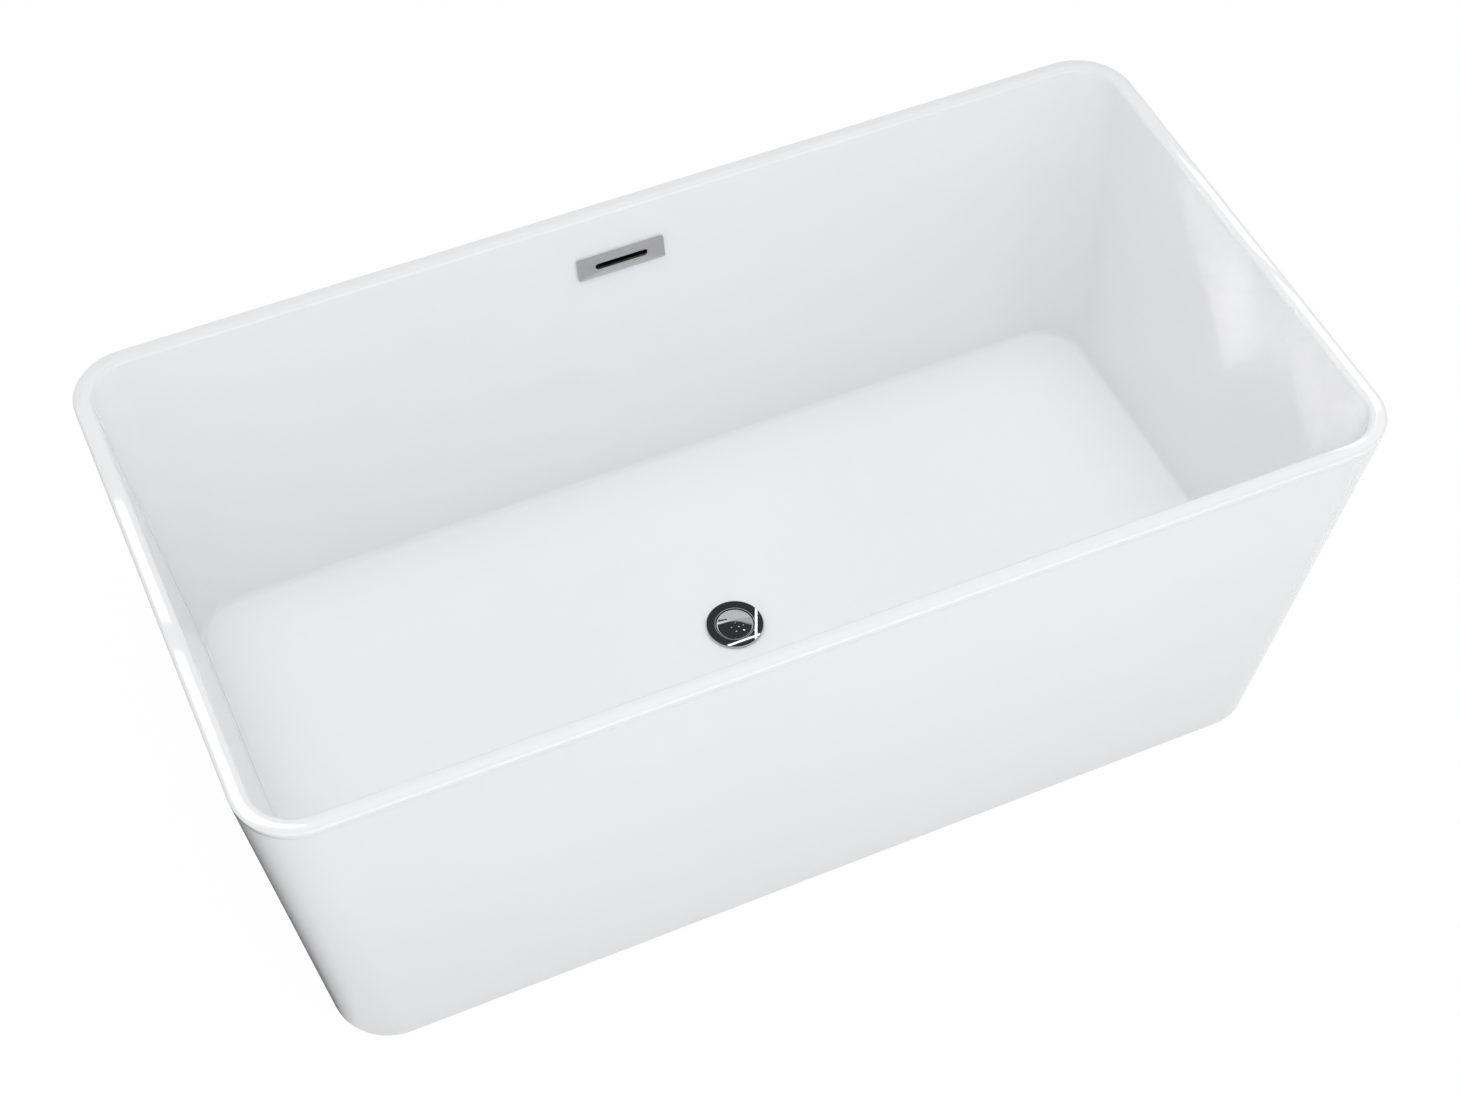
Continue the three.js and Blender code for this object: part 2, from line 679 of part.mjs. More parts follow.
function addDrain() {
  const drain = new THREE.Group();
  drain.position.set(0, DRAIN.y, DRAIN.z);
  bathtub.add(drain);
  add(drain, "drain_gasket", ring(DRAIN.holeRadius + 0.5, 38, GAP, 1.3, 32), rubber);
  add(drain, "drain_flange", drainFlange(), chrome);
  add(drain, "stopper_cap", stopperCap(), chrome);
  add(drain, "stopper_seal", stopperSeal(), rubber);
  add(drain, "stopper_stem", stopperStem(), brass);
  add(drain, "stopper_cartridge", stopperCartridge(), brass);
  add(drain, "stopper_spring", stopperSpring(), stainless);
  const washer = ring(DRAIN.barrelRadius + 0.6, 35, washerTop - 3, washerTop, 28).translate(0, DRAIN.y, 0);
  add(bathtub, "drain_washer", washer, rubber);
  add(bathtub, "waste_body", wasteBody(), plastic);
  add(bathtub, "tailpiece", tailpiece(), plastic);
  add(bathtub, "tailpiece_nut", tailpieceNut(), plastic);
  add(bathtub, "tailpiece_seal", tailpieceSeal(), rubber);
}

function addOverflow() {
  const overflow = new THREE.Group();
  overflow.position.copy(overflowPlace.position);
  overflow.rotation.copy(overflowPlace.rotation);
  bathtub.add(overflow);
  add(overflow, "overflow_cover", overflowCover(), chrome);
  add(overflow, "overflow_bezel", overflowBezel(), plastic);
  add(overflow, "overflow_screw_left", overflowScrewSolid(), stainless, [-overflowHole.screwX, 0, 0]);
  add(overflow, "overflow_screw_right", overflowScrewSolid(), stainless, [overflowHole.screwX, 0, 0]);
  add(overflow, "overflow_gasket", overflowGasket(), rubber);
  add(overflow, "overflow_body", overflowBody(), plastic);
  add(bathtub, "overflow_hose", overflowHose(), hosePlastic);
  const upper = add(overflow, "hose_clamp_upper", hoseClamp(), stainless, [0, spigot.foot + 12, spigot.depth]);
  upper.rotation.x = Math.PI / 2;
  const lower = add(bathtub, "hose_clamp_lower", hoseClamp(), stainless, [0, DRAIN.y + 50, HOSE.portZ]);
  lower.rotation.x = Math.PI / 2;
}

addShells();
addFrame();
addFeet();
addDrain();
addOverflow();

export default bathtub;
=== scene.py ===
import math

import bmesh
import bpy
import numpy as np
from mathutils import Matrix, Vector


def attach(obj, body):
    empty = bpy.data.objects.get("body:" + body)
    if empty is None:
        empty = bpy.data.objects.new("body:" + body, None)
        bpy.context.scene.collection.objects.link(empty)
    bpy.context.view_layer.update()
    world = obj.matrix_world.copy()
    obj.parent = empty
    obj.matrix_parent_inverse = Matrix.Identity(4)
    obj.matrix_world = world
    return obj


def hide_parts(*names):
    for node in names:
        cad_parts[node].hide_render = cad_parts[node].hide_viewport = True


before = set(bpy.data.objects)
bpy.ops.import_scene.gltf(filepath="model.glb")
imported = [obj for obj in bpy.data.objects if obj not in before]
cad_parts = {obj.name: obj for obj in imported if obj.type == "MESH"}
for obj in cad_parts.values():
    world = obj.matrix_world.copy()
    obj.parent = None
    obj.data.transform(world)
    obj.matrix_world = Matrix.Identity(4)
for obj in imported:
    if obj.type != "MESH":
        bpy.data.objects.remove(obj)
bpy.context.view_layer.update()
print("frame loaded:", len(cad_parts), "nodes")


def linkNew(name, data):
    # a new object in the scene
    made = bpy.data.objects.new(name, data)
    bpy.context.collection.objects.link(made)
    return made


# the camera looks down from the front left: angles in degrees, distance in metres, lens and sensor in millimetres
cameraView = {
    "azimuth": -23.945, "elevation": 51.26, "distance": 3.656, "target": (0.0063, 0.0086, 0.300),
    "lens": 67.41, "sensor": 36.0,
}


def placeCamera():
    turn = math.radians(cameraView["azimuth"])
    lift = math.radians(cameraView["elevation"])
    back = Vector((math.sin(turn) * math.cos(lift), -math.cos(turn) * math.cos(lift), math.sin(lift)))
    data = bpy.data.cameras.new("studioCamera")
    data.lens = cameraView["lens"]
    data.sensor_width = cameraView["sensor"]
    camera = linkNew("studioCamera", data)
    camera.location = Vector(cameraView["target"]) + back * cameraView["distance"]
    camera.rotation_mode = "QUATERNION"
    camera.rotation_quaternion = (-back).to_track_quat("-Z", "Y")
    bpy.context.scene.camera = camera


placeCamera()
bpy.context.scene.view_settings.view_transform = "Standard"
print("camera placed")


class NodeBoard:
    # a material's node tree, with short calls to add a node and to join sockets
    def __init__(self, name):
        self.material = bpy.data.materials.new(name)
        self.material.use_nodes = True
        self.tree = self.material.node_tree
        self.shader = self.tree.nodes["Principled BSDF"]
        self.coords = None

    def node(self, kind, **values):
        made = self.tree.nodes.new(kind)
        for key, value in values.items():
            if key in made.inputs:
                made.inputs[key].default_value = value
            else:
                setattr(made, key, value)
        return made

    def join(self, source, target):
        self.tree.links.new(source, target)

    def objectCoords(self, scale=(1, 1, 1), turn=(0, 0, 0), offset=(0, 0, 0)):
        if self.coords is None:
            self.coords = self.node("ShaderNodeTexCoord")
        mapping = self.node("ShaderNodeMapping", Scale=scale, Rotation=turn, Location=offset)
        self.join(self.coords.outputs["Object"], mapping.inputs["Vector"])
        return mapping.outputs["Vector"]

    def ramp(self, source, *stops):
        made = self.node("ShaderNodeValToRGB")
        elements = made.color_ramp.elements
        while len(elements) < len(stops):
            elements.new(0.5)
        for element, (place, color) in zip(elements, stops):
            element.position = place
            element.color = (*color, 1) if len(color) == 3 else color
        self.join(source, made.inputs["Fac"])
        return made.outputs["Color"]

    def grade(self, source, low, high):
        # stretches a 0 to 1 value between two levels
        made = self.node("ShaderNodeMapRange")
        made.inputs["To Min"].default_value = low
        made.inputs["To Max"].default_value = high
        self.join(source, made.inputs["Value"])
        return made.outputs["Result"]

    def noise(self, coords, scale, detail=3.0, roughness=0.5):
        made = self.node("ShaderNodeTexNoise", Scale=scale, Detail=detail, Roughness=roughness)
        self.join(coords, made.inputs["Vector"])
        return made.outputs["Fac"]

    def bump(self, height, strength, distance, below=None):
        made = self.node("ShaderNodeBump", Strength=strength, Distance=distance)
        self.join(height, made.inputs["Height"])
        if below is not None:
            self.join(below, made.inputs["Normal"])
        return made.outputs["Normal"]

    def blend(self, amount, first, second, kind="MIX"):
        # mixes two colours; the amount and the colours are sockets or plain values
        made = self.node("ShaderNodeMix", data_type="RGBA", blend_type=kind)
        factor, colorA, colorB, result = 0, 6, 7, 2  # places of the colour sockets among this node's sockets
        for place, value in ((factor, amount), (colorA, first), (colorB, second)):
            if isinstance(value, bpy.types.NodeSocket):
                self.join(value, made.inputs[place])
            else:
                made.inputs[place].default_value = value
        return made.outputs[result]

    def finish(self, tone, rough, normal):
        # joins the three that every finish here varies, and hands the material over
        for socket, source in (("Base Color", tone), ("Roughness", rough), ("Normal", normal)):
            self.join(source, self.shader.inputs[socket])
        return self.material


def meshFromGrid(name, grid, wrapRows=False):
    # quads join each grid point to its neighbours; each row is closed, and wrapRows joins the last row to the first
    rows, columns = grid.shape[:2]
    r, c = np.meshgrid(np.arange(rows if wrapRows else rows - 1), np.arange(columns), indexing="ij")
    rNext, cNext = (r + 1) % rows, (c + 1) % columns
    quads = np.stack([r * columns + c, r * columns + cNext, rNext * columns + cNext, rNext * columns + c], -1)
    quads = quads.reshape(-1, 4)
    mesh = bpy.data.meshes.new(name)
    mesh.vertices.add(rows * columns)
    mesh.vertices.foreach_set("co", np.ascontiguousarray(grid, dtype=np.float32).ravel())
    mesh.loops.add(quads.size)
    mesh.loops.foreach_set("vertex_index", quads.astype(np.int32).ravel())
    mesh.polygons.add(len(quads))
    mesh.polygons.foreach_set("loop_start", np.arange(0, quads.size, 4, dtype=np.int32))
    mesh.update(calc_edges=True)
    return mesh


def shaded(mesh, sharpAngle):
    # smooth all over, but for edges that turn by more than the angle in degrees
    mesh.shade_smooth()
    mesh.set_sharp_from_angle(angle=math.radians(sharpAngle))
    return mesh


def tidyMesh(mesh, sharpAngle=32.0, weld=2e-6):
    # points closer than the weld distance become one, and faces turn outwards
    work = bmesh.new()
    work.from_mesh(mesh)
    bmesh.ops.remove_doubles(work, verts=work.verts, dist=weld)
    bmesh.ops.dissolve_degenerate(work, edges=work.edges, dist=weld)
    bmesh.ops.recalc_face_normals(work, faces=work.faces)
    work.to_mesh(mesh)
    work.free()
    return shaded(mesh, sharpAngle)


def joinMeshes(name, *meshes):
    work = bmesh.new()
    for mesh in meshes:
        work.from_mesh(mesh)
    whole = bpy.data.meshes.new(name)
    work.to_mesh(whole)
    work.free()
    for mesh in meshes:
        bpy.data.meshes.remove(mesh)
    return whole


def addPiece(name, mesh, body, slot, material, *nodes):
    mesh.name = name
    piece = linkNew(name, mesh)
    mesh.materials.clear()
    mesh.materials.append(material)
    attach(piece, body)
    if nodes:
        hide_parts(*nodes)


def applyModifiers(piece):
    shapes = bpy.context.evaluated_depsgraph_get()
    finished = bpy.data.meshes.new_from_object(piece.evaluated_get(shapes))
    old = piece.data
    piece.modifiers.clear()
    piece.data = finished
    bpy.data.meshes.remove(old)
    return finished


def combined(mesh, *steps):
    # exact booleans of closed meshes, one after another: each step is an operation and its tool
    piece = linkNew("cutWork", mesh)
    for operation, toolMesh in steps:
        step = piece.modifiers.new("cut", "BOOLEAN")
        step.operation = operation
        step.solver = "EXACT"
        step.object = linkNew("cutTool", toolMesh)
    tools = [step.object for step in piece.modifiers]
    finished = applyModifiers(piece)
    for made in [piece, *tools]:
        bpy.data.objects.remove(made)
    return finished


def cutAway(mesh, *cutters):
    return combined(mesh, *[("DIFFERENCE", cutter) for cutter in cutters])


def turnedMesh(name, profile, columns=96, centre=(0, 0), closed=False):
    # surface of revolution: each profile point (radius, height) swept round a vertical axis
    profile = np.asarray(profile, float)
    angle = np.linspace(0, 2 * np.pi, columns, endpoint=False)
    radius, height = profile[:, :1], profile[:, 1:]
    grid = np.stack([
        centre[0] + radius * np.cos(angle),
        centre[1] + radius * np.sin(angle),
        height + 0 * angle,
    ], -1)
    return meshFromGrid(name, grid, wrapRows=closed)


def softened(points, radius, steps=5, closed=False):
    # rounds each corner of a polyline with a quadratic curve between points a radius away along its sides,
    # and puts one more point just beyond each end so that the flats stay flat when they are shaded
    points = np.asarray(points, float)
    before = np.roll(points, 1, 0)
    after = np.roll(points, -1, 0)
    toBefore, toAfter = before - points, after - points
    lengthBefore = np.linalg.norm(toBefore, axis=1, keepdims=True)
    lengthAfter = np.linalg.norm(toAfter, axis=1, keepdims=True)
    reach = np.minimum(radius, 0.45 * np.minimum(lengthBefore, lengthAfter))
    hold = np.minimum(reach * 1.1, 0.49 * np.minimum(lengthBefore, lengthAfter))
    start, holdStart = (points + toBefore / lengthBefore * step for step in (reach, hold))
    end, holdEnd = (points + toAfter / lengthAfter * step for step in (reach, hold))
    t = np.linspace(0, 1, steps)[None, :, None]
    curve = (1 - t) ** 2 * start[:, None] + 2 * t * (1 - t) * points[:, None] + t ** 2 * end[:, None]
    curve = np.concatenate([holdStart[:, None], curve, holdEnd[:, None]], 1)
    count = curve.shape[1]
    curve = curve.reshape(-1, points.shape[1])
    if closed:
        return curve
    inner = curve[count:-count]
    return np.vstack([points[:1], inner, points[-1:]])


# the tub's two shells and the skin on the basin's back, in metres
tub = {
    "length": 1.500, "width": 0.790, "height": 0.605,
    "baseLength": 1.352, "baseWidth": 0.678, "corner": 0.079,
    "rimWidth": 0.0226, "rimEdge": 0.004, "sheet": 0.0035,
    "lip": 0.012, "floorHalf": 0.673, "floorFront": -0.333, "floorBack": 0.2895,
    "floorCorner": 0.060, "floorHeight": 0.179, "fillet": 0.007,
    "backingGap": 0.0003, "backingThick": 0.0025, "backingTop": 0.585, "backingFoot": 0.1608,
}
drainSpot = {
    "y": -0.022, "z": 0.1685, "hole": 0.0285,
    "flat": 0.047, "blend": 0.120, "dish": 1.6,  # level round the drain, then the fall's start, and its roundness
}
skirt = {
    "thick": 0.004, "low": 0.003, "foot": 0.0018, "fold": 0.028,  # wall, gap to the ground, foot's radius, return
    "tongue": 0.0003, "tongueThick": 0.0032, "tongueUp": 0.008, "tongueDown": 0.016,  # tongue inside the rim's lip
}

# an outline row is (half length, front, back, corner radius, height)


def outerRow(z, inset=0.0):
    # outer wall: the ground outline and the rim outline mixed by height, then moved inwards
    t = z / tub["height"]
    half = tub["baseLength"] / 2 + (tub["length"] - tub["baseLength"]) / 2 * t - inset
    side = tub["baseWidth"] / 2 + (tub["width"] - tub["baseWidth"]) / 2 * t - inset
    return [half, -side, side, tub["corner"] - inset, z]


def innerRow(z, out=0.0):
    # wet wall: the rim's inner outline and the floor outline mixed by depth, then moved outwards
    t = (tub["height"] - z) / (tub["height"] - tub["floorHeight"])
    half = tub["length"] / 2 - tub["rimWidth"]
    side = tub["width"] / 2 - tub["rimWidth"]
    corner = tub["corner"] - tub["rimWidth"]
    return [
        half + (tub["floorHalf"] - half) * t + out,
        -side + (tub["floorFront"] + side) * t - out,
        side + (tub["floorBack"] - side) * t + out,
        corner + (tub["floorCorner"] - corner) * t + out,
        z,
    ]


def insetRow(row, distance, z):
    return [row[0] - distance, row[1] + distance, row[2] - distance, row[3] - distance, z]


def filletRows(out, steps=10):
    # quarter circle from the wall to the floor, on a surface lying outside the wet one
    radius = tub["fillet"] + out
    rows = []
    for angle in np.linspace(0, np.pi / 2, steps + 1):
        z = tub["floorHeight"] + tub["fillet"] - radius * math.sin(angle)
        base = innerRow(max(z, tub["floorHeight"]), out)
        rows.append(insetRow(base, radius * (1 - math.cos(angle)), z))
    return rows


def ringGrid(rows, arc=14, runLong=48, runShort=28):
    # rectangles with round corners, one per row: an arc at each corner and straight runs between the arcs
    rows = np.atleast_2d(np.asarray(rows, float))
    half, front, back, corner, z = [rows[:, k:k + 1] for k in range(5)]
    centres = [
        (half - corner, back - corner), (corner - half, back - corner),
        (corner - half, front + corner), (half - corner, front + corner),
    ]
    parts = []
    for quarter, (cx, cy) in enumerate(centres):
        angle = (quarter + np.linspace(0, 1, arc + 1)) * np.pi / 2
        parts.append(np.stack([cx + corner * np.cos(angle), cy + corner * np.sin(angle)], -1))
        nx, ny = centres[(quarter + 1) % 4]
        count = runLong if quarter % 2 == 0 else runShort
        t = np.linspace(0, 1, count + 1)[1:-1]
        last = (quarter + 1) * np.pi / 2
        start = np.stack([cx + corner * math.cos(last), cy + corner * math.sin(last)], -1)
        end = np.stack([nx + corner * math.cos(last), ny + corner * math.sin(last)], -1)
        parts.append(start + (end - start) * t[None, :, None])
    plan = np.concatenate(parts, 1)
    height = np.broadcast_to(z, plan.shape[:2])
    return np.concatenate([plan, height[..., None]], -1)


def floorRise(x, y):
    # fall to the drain: the full rise at the walls, none in the middle, level round the drain
    rise = tub["floorHeight"] - drainSpot["z"]
    u = np.clip(np.abs(x) / (tub["floorHalf"] - tub["fillet"]), 0, 1)
    reach = (tub["floorBack"] - tub["floorFront"]) / 2 - tub["fillet"]
    middle = (tub["floorBack"] + tub["floorFront"]) / 2
    v = np.clip(np.abs(y - middle) / reach, 0, 1)
    dish = 1 - (1 - u ** drainSpot["dish"]) * (1 - v ** drainSpot["dish"])
    away = np.hypot(x, y - drainSpot["y"])
    t = np.clip((away - drainSpot["flat"]) / drainSpot["blend"], 0, 1)
    return rise * dish * t * t * (3 - 2 * t)


def floorGrid(out, steps=44, crowding=0.85):
    # outlines shrinking from the floor's edge to the drain hole, at the height of the fall
    edge = filletRows(out)[-1]
    hole = drainSpot["hole"]
    last = [hole, drainSpot["y"] - hole, drainSpot["y"] + hole, hole, drainSpot["z"] - out]
    t = np.linspace(0, 1, steps + 1)[1:, None] ** crowding
    grid = ringGrid(np.asarray(edge) + (np.asarray(last) - np.asarray(edge)) * t)
    grid[..., 2] = drainSpot["z"] - out + floorRise(grid[..., 0], grid[..., 1])
    return grid


def basinGrid():
    # the sheet's section, row by row: dry floor, dry wall, inside of the lip, its foot, the rim, wet wall, wet floor
    sheet, height, edge = tub["sheet"], tub["height"], tub["rimEdge"]
    under, lipFoot = height - sheet, height - tub["lip"]
    wallFoot, crease, skin, hair = 0.20, 0.002, 0.0004, 0.00001
    rows = list(reversed(filletRows(sheet)))
    rows += [innerRow(z, sheet) for z in np.linspace(wallFoot, under - crease, 12)]
    rows += [innerRow(under, sheet - crease / 2), outerRow(under, sheet + crease / 2)]
    rows += [outerRow(under - crease, sheet), outerRow(lipFoot + skin, sheet)]
    rows += [outerRow(lipFoot, sheet - skin), outerRow(lipFoot, hair)]
    rows += [outerRow(lipFoot + 2 * hair), outerRow(height - edge * 1.3)]
    turn = np.linspace(0, np.pi / 2, 11)
    rows += [outerRow(height - edge * (1 - math.sin(a)), edge * (1 - math.cos(a))) for a in turn]
    rows += [innerRow(height - edge * (1 - math.cos(a)), edge * (1 - math.sin(a))) for a in turn]
    rows += [innerRow(z) for z in np.linspace(height - edge * 1.3, wallFoot, 14)]
    rows += filletRows(0.0)
    return np.concatenate([floorGrid(sheet)[::-1], ringGrid(rows), floorGrid(0.0)], 0)


def skirtGrid():
    # the skirt's section, row by row: round foot, outer wall, tongue inside the lip, inner wall, bottom return
    top = tub["height"] - tub["lip"]
    thick, low, foot, fold = (skirt[key] for key in ("thick", "low", "foot", "fold"))
    tongue, tip = tub["sheet"] + skirt["tongue"], top + skirt["tongueUp"]
    tongueBack, root = tub["sheet"] + skirt["tongue"] + skirt["tongueThick"], top - skirt["tongueDown"]
    inside, crease, hair = low + thick, 0.003, 0.00001
    rows = [outerRow(low, foot)]
    rows += [outerRow(low + foot * (1 - math.cos(a)), foot * (1 - math.sin(a))) for a in np.linspace(0, np.pi / 2, 7)]
    rows += [outerRow(z) for z in np.linspace(low + foot * 2, top - 3 * hair, 16)]
    rows += [outerRow(top - hair, 0.0004), outerRow(top - 0.0003, tongue), outerRow(tip, tongue)]
    rows += [outerRow(tip, tongueBack), outerRow(root, tongueBack), outerRow(root - 0.008, thick)]
    rows += [outerRow(inside + crease, thick), outerRow(inside, thick + crease)]
    rows += [outerRow(inside, fold - 0.001), outerRow(low + thick / 2, fold), outerRow(low, fold - 0.001)]
    return ringGrid(rows)


# frame of the overflow: +Z out of the back wall into the tub, +Y up the wall, and its depths behind the wet face
overflow = {
    "z": 0.5296, "width": 0.125, "height": 0.032, "proud": 0.005, "slotLength": 0.075, "slotHeight": 0.0078,
    "holeWidth": 0.092, "holeHeight": 0.020, "screwX": 0.052,
}
backSlope = (innerRow(tub["height"])[2] - tub["floorBack"]) / (tub["height"] - tub["floorHeight"])
overflowPlace = Matrix.Translation((0, innerRow(overflow["z"])[2], overflow["z"])) @ Matrix.Rotation(
    math.pi / 2 - math.atan(backSlope), 4, "X")


def cappedMesh(name, grid):
    # closes a grid at the middle of its first and its last row
    middle = grid.mean(1, keepdims=True)
    grid = np.concatenate([middle[:1] + 0 * grid[:1], grid, middle[-1:] + 0 * grid[-1:]], 0)
    return meshFromGrid(name, grid)


def plateMesh(name, width, height, corner, low, high, edge=0.0):
    # rounded rectangle drawn along a profile that rounds its two rims
    turn = np.linspace(0, np.pi / 2, 6) if edge > 0 else np.array([0.0])
    inset = np.concatenate([edge * (1 - np.sin(turn)), edge * (1 - np.sin(turn))[::-1]])
    z = np.concatenate([low + edge * (1 - np.cos(turn)), (high - edge * (1 - np.cos(turn)))[::-1]])
    rows = np.stack([width / 2 - inset, inset - height / 2, height / 2 - inset, corner + 0 * inset, z], -1)
    return cappedMesh(name, ringGrid(rows, arc=8, runLong=2, runShort=2))


def pinMesh(radius, low, high, x):
    return tidyMesh(turnedMesh("pin", [(0, low), (radius, low), (radius, high), (0, high)], 32, (x, 0)))


def placed(mesh, matrix):
    mesh.transform(matrix)
    return mesh


def overflowCutters():
    # tools for the hole and the two screw holes, longer than the wall is thick
    near, far = -0.04, 0.01
    hole = tidyMesh(plateMesh("hole", overflow["holeWidth"], overflow["holeHeight"], 0.004, near, far))
    screws = [pinMesh(0.0024, near, far, side * overflow["screwX"]) for side in (-1, 1)]
    return [placed(mesh, overflowPlace) for mesh in [hole, *screws]]


acrylicLook = {"tone": (0.908, 0.912, 0.916), "shade": (0.894, 0.899, 0.904), "rough": (0.025, 0.045), "ior": 1.49}


def whiteAcrylic():
    # gloss sheet: faintly cool white, with the slow ripple that a drawn sheet keeps in its reflections
    board = NodeBoard("whiteAcrylic")
    coords = board.objectCoords()
    tone = board.ramp(board.noise(coords, 2.2, 2.0), (0.35, acrylicLook["shade"]), (0.7, acrylicLook["tone"]))
    rough = board.grade(board.noise(coords, 9.0, 4.0, 0.6), *acrylicLook["rough"])
    board.shader.inputs["IOR"].default_value = acrylicLook["ior"]
    return board.finish(tone, rough, board.bump(board.noise(coords, 7.0, 1.0), 0.008, 0.01))


def chopStrand():
    # raw fibreglass: pale resin with short strands lying every way, and a coarse sprayed surface
    board = NodeBoard("chopStrand")
    coords = board.objectCoords()
    strands = board.node("ShaderNodeTexVoronoi", feature="DISTANCE_TO_EDGE", Scale=95.0)
    board.join(board.objectCoords(scale=(1, 3.4, 1.7), turn=(0.4, 0.2, 0.7)), strands.inputs["Vector"])
    resin = board.noise(coords, 14.0, 5.0, 0.6)
    tone = board.ramp(resin, (0.3, (0.50, 0.46, 0.35)), (0.62, (0.66, 0.63, 0.53)), (0.8, (0.73, 0.71, 0.63)))
    fibre = board.ramp(strands.outputs["Distance"], (0.0, (0.86, 0.85, 0.80)), (0.09, (0.5, 0.48, 0.4)))
    relief = board.bump(strands.outputs["Distance"], 0.35, 0.001, board.bump(resin, 0.55, 0.004))
    return board.finish(board.blend(0.35, tone, fibre, "OVERLAY"), board.grade(resin, 0.38, 0.72), relief)


def plyBoard():
    # plywood: grain stretched along X on the faces, thin dark and light plies on the edges
    board = NodeBoard("plyBoard")
    grain = board.noise(board.objectCoords(scale=(2.2, 38, 38)), 3.0, 6.0, 0.65)
    face = board.ramp(grain, (0.3, (0.33, 0.20, 0.10)), (0.55, (0.50, 0.33, 0.18)), (0.75, (0.60, 0.42, 0.25)))
    plies = board.node("ShaderNodeTexWave", wave_type="BANDS", bands_direction="Z", Scale=62.0, Distortion=0.4)
    board.join(board.objectCoords(), plies.inputs["Vector"])
    edge = board.ramp(plies.outputs["Fac"], (0.3, (0.26, 0.15, 0.08)), (0.6, (0.56, 0.39, 0.22)))
    geometry = board.node("ShaderNodeNewGeometry")
    split = board.node("ShaderNodeSeparateXYZ")
    board.join(geometry.outputs["Normal"], split.inputs["Vector"])
    level = board.node("ShaderNodeMath", operation="ABSOLUTE")
    board.join(split.outputs["Z"], level.inputs[0])
    tone = board.blend(level.outputs["Value"], edge, face)
    return board.finish(tone, board.grade(grain, 0.5, 0.75), board.bump(grain, 0.3, 0.0006))


def metalFinish(name, tone, shade, rough, scale, grainScale=(1, 1, 1), bumpStrength=0.05, pattern="noise"):
    # metal with two tones laid out by a noise or by crystal cells, and roughness that follows them
    board = NodeBoard(name)
    coords = board.objectCoords(scale=grainScale)
    if pattern == "cells":
        cells = board.node("ShaderNodeTexVoronoi", feature="F1", Scale=scale)
        board.join(coords, cells.inputs["Vector"])
        split = board.node("ShaderNodeSeparateColor")
        board.join(cells.outputs["Color"], split.inputs["Color"])
        field = split.outputs["Red"]
    else:
        field = board.noise(coords, scale, 5.0, 0.6)
    board.shader.inputs["Metallic"].default_value = 1.0
    tone = board.ramp(field, (0.25, shade), (0.75, tone))
    return board.finish(tone, board.grade(field, *rough), board.bump(field, bumpStrength, 0.0004))


def polymerFinish(name, tone, shade, rough, scale, bumpStrength=0.12):
    # moulded plastic or rubber: a fine grain in colour, roughness and height
    board = NodeBoard(name)
    fine = board.noise(board.objectCoords(), scale, 3.0, 0.55)
    broad = board.noise(board.objectCoords(), scale / 24, 3.0, 0.5)
    tone = board.ramp(broad, (0.3, shade), (0.7, tone))
    return board.finish(tone, board.grade(fine, *rough), board.bump(fine, bumpStrength, 0.0003))


# a finish is given by its tone, its shade, its lowest and highest roughness and the scale of its pattern
acrylic = whiteAcrylic()
fibreglass = chopStrand()
plywood = plyBoard()
galvanised = metalFinish("galvanised", (0.62, 0.64, 0.66), (0.44, 0.46, 0.49), (0.28, 0.46), 70, pattern="cells")
zincPlate = metalFinish("zincPlate", (0.70, 0.71, 0.70), (0.60, 0.62, 0.64), (0.22, 0.34), 120)
chromePlate = metalFinish(
    "chromePlate", (0.66, 0.67, 0.68), (0.62, 0.63, 0.65), (0.004, 0.012), 40, bumpStrength=0.002)
satinChrome = metalFinish(
    "satinChrome", (0.60, 0.61, 0.62), (0.57, 0.58, 0.60), (0.16, 0.22), 60, bumpStrength=0.01)
turnedBrass = metalFinish("turnedBrass", (0.78, 0.56, 0.24), (0.68, 0.47, 0.19), (0.2, 0.34), 50, (1, 1, 30))
stainless = metalFinish("stainless", (0.66, 0.66, 0.65), (0.56, 0.56, 0.57), (0.2, 0.32), 90)
padRubber = polymerFinish("padRubber", (0.028, 0.028, 0.030), (0.018, 0.018, 0.019), (0.55, 0.8), 420)
sealRubber = polymerFinish("sealRubber", (0.020, 0.020, 0.021), (0.012, 0.012, 0.013), (0.4, 0.6), 600)
blackPlastic = polymerFinish("blackPlastic", (0.030, 0.031, 0.034), (0.022, 0.023, 0.026), (0.32, 0.48), 700)
hosePlastic = polymerFinish("hosePlastic", (0.62, 0.63, 0.64), (0.54, 0.56, 0.58), (0.32, 0.45), 300)
print("materials made")


def makeShells():
    basin = tidyMesh(meshFromGrid("basin", basinGrid(), wrapRows=True), weld=1e-6)
    basin = shaded(cutAway(basin, *overflowCutters()), 50)
    addPiece("basinSurface", basin, "tub", "acrylic", acrylic, "basin_shell")
    sides = tidyMesh(meshFromGrid("skirt", skirtGrid(), wrapRows=True), 50, weld=1e-6)
    addPiece("skirtSurface", sides, "tub", "acrylic", acrylic, "outer_skirt")


makeShells()
print("shells made")

# radii of the drain's rings, and heights above the level floor round it
drain = {
    "flange": 0.040, "crown": 0.0046, "step": 0.0268, "bore": 0.018, "barrel": 0.0205, "neck": 0.0278,
    "cap": 0.0255, "capTop": 0.0066, "capEdge": 0.0030, "foot": -0.038,
    "hub": (0.008, 0.011), "bars": (-0.014, -0.010), "spokes": 4, "spokeWidth": 0.004, "spokeSpan": (0.0102, 0.0190),
}


def drainHeights(points):
    # heights in the drain's profiles are above the level floor round it
    points = np.asarray(points, float)
    points[:, 1] += drainSpot["z"]
    return points


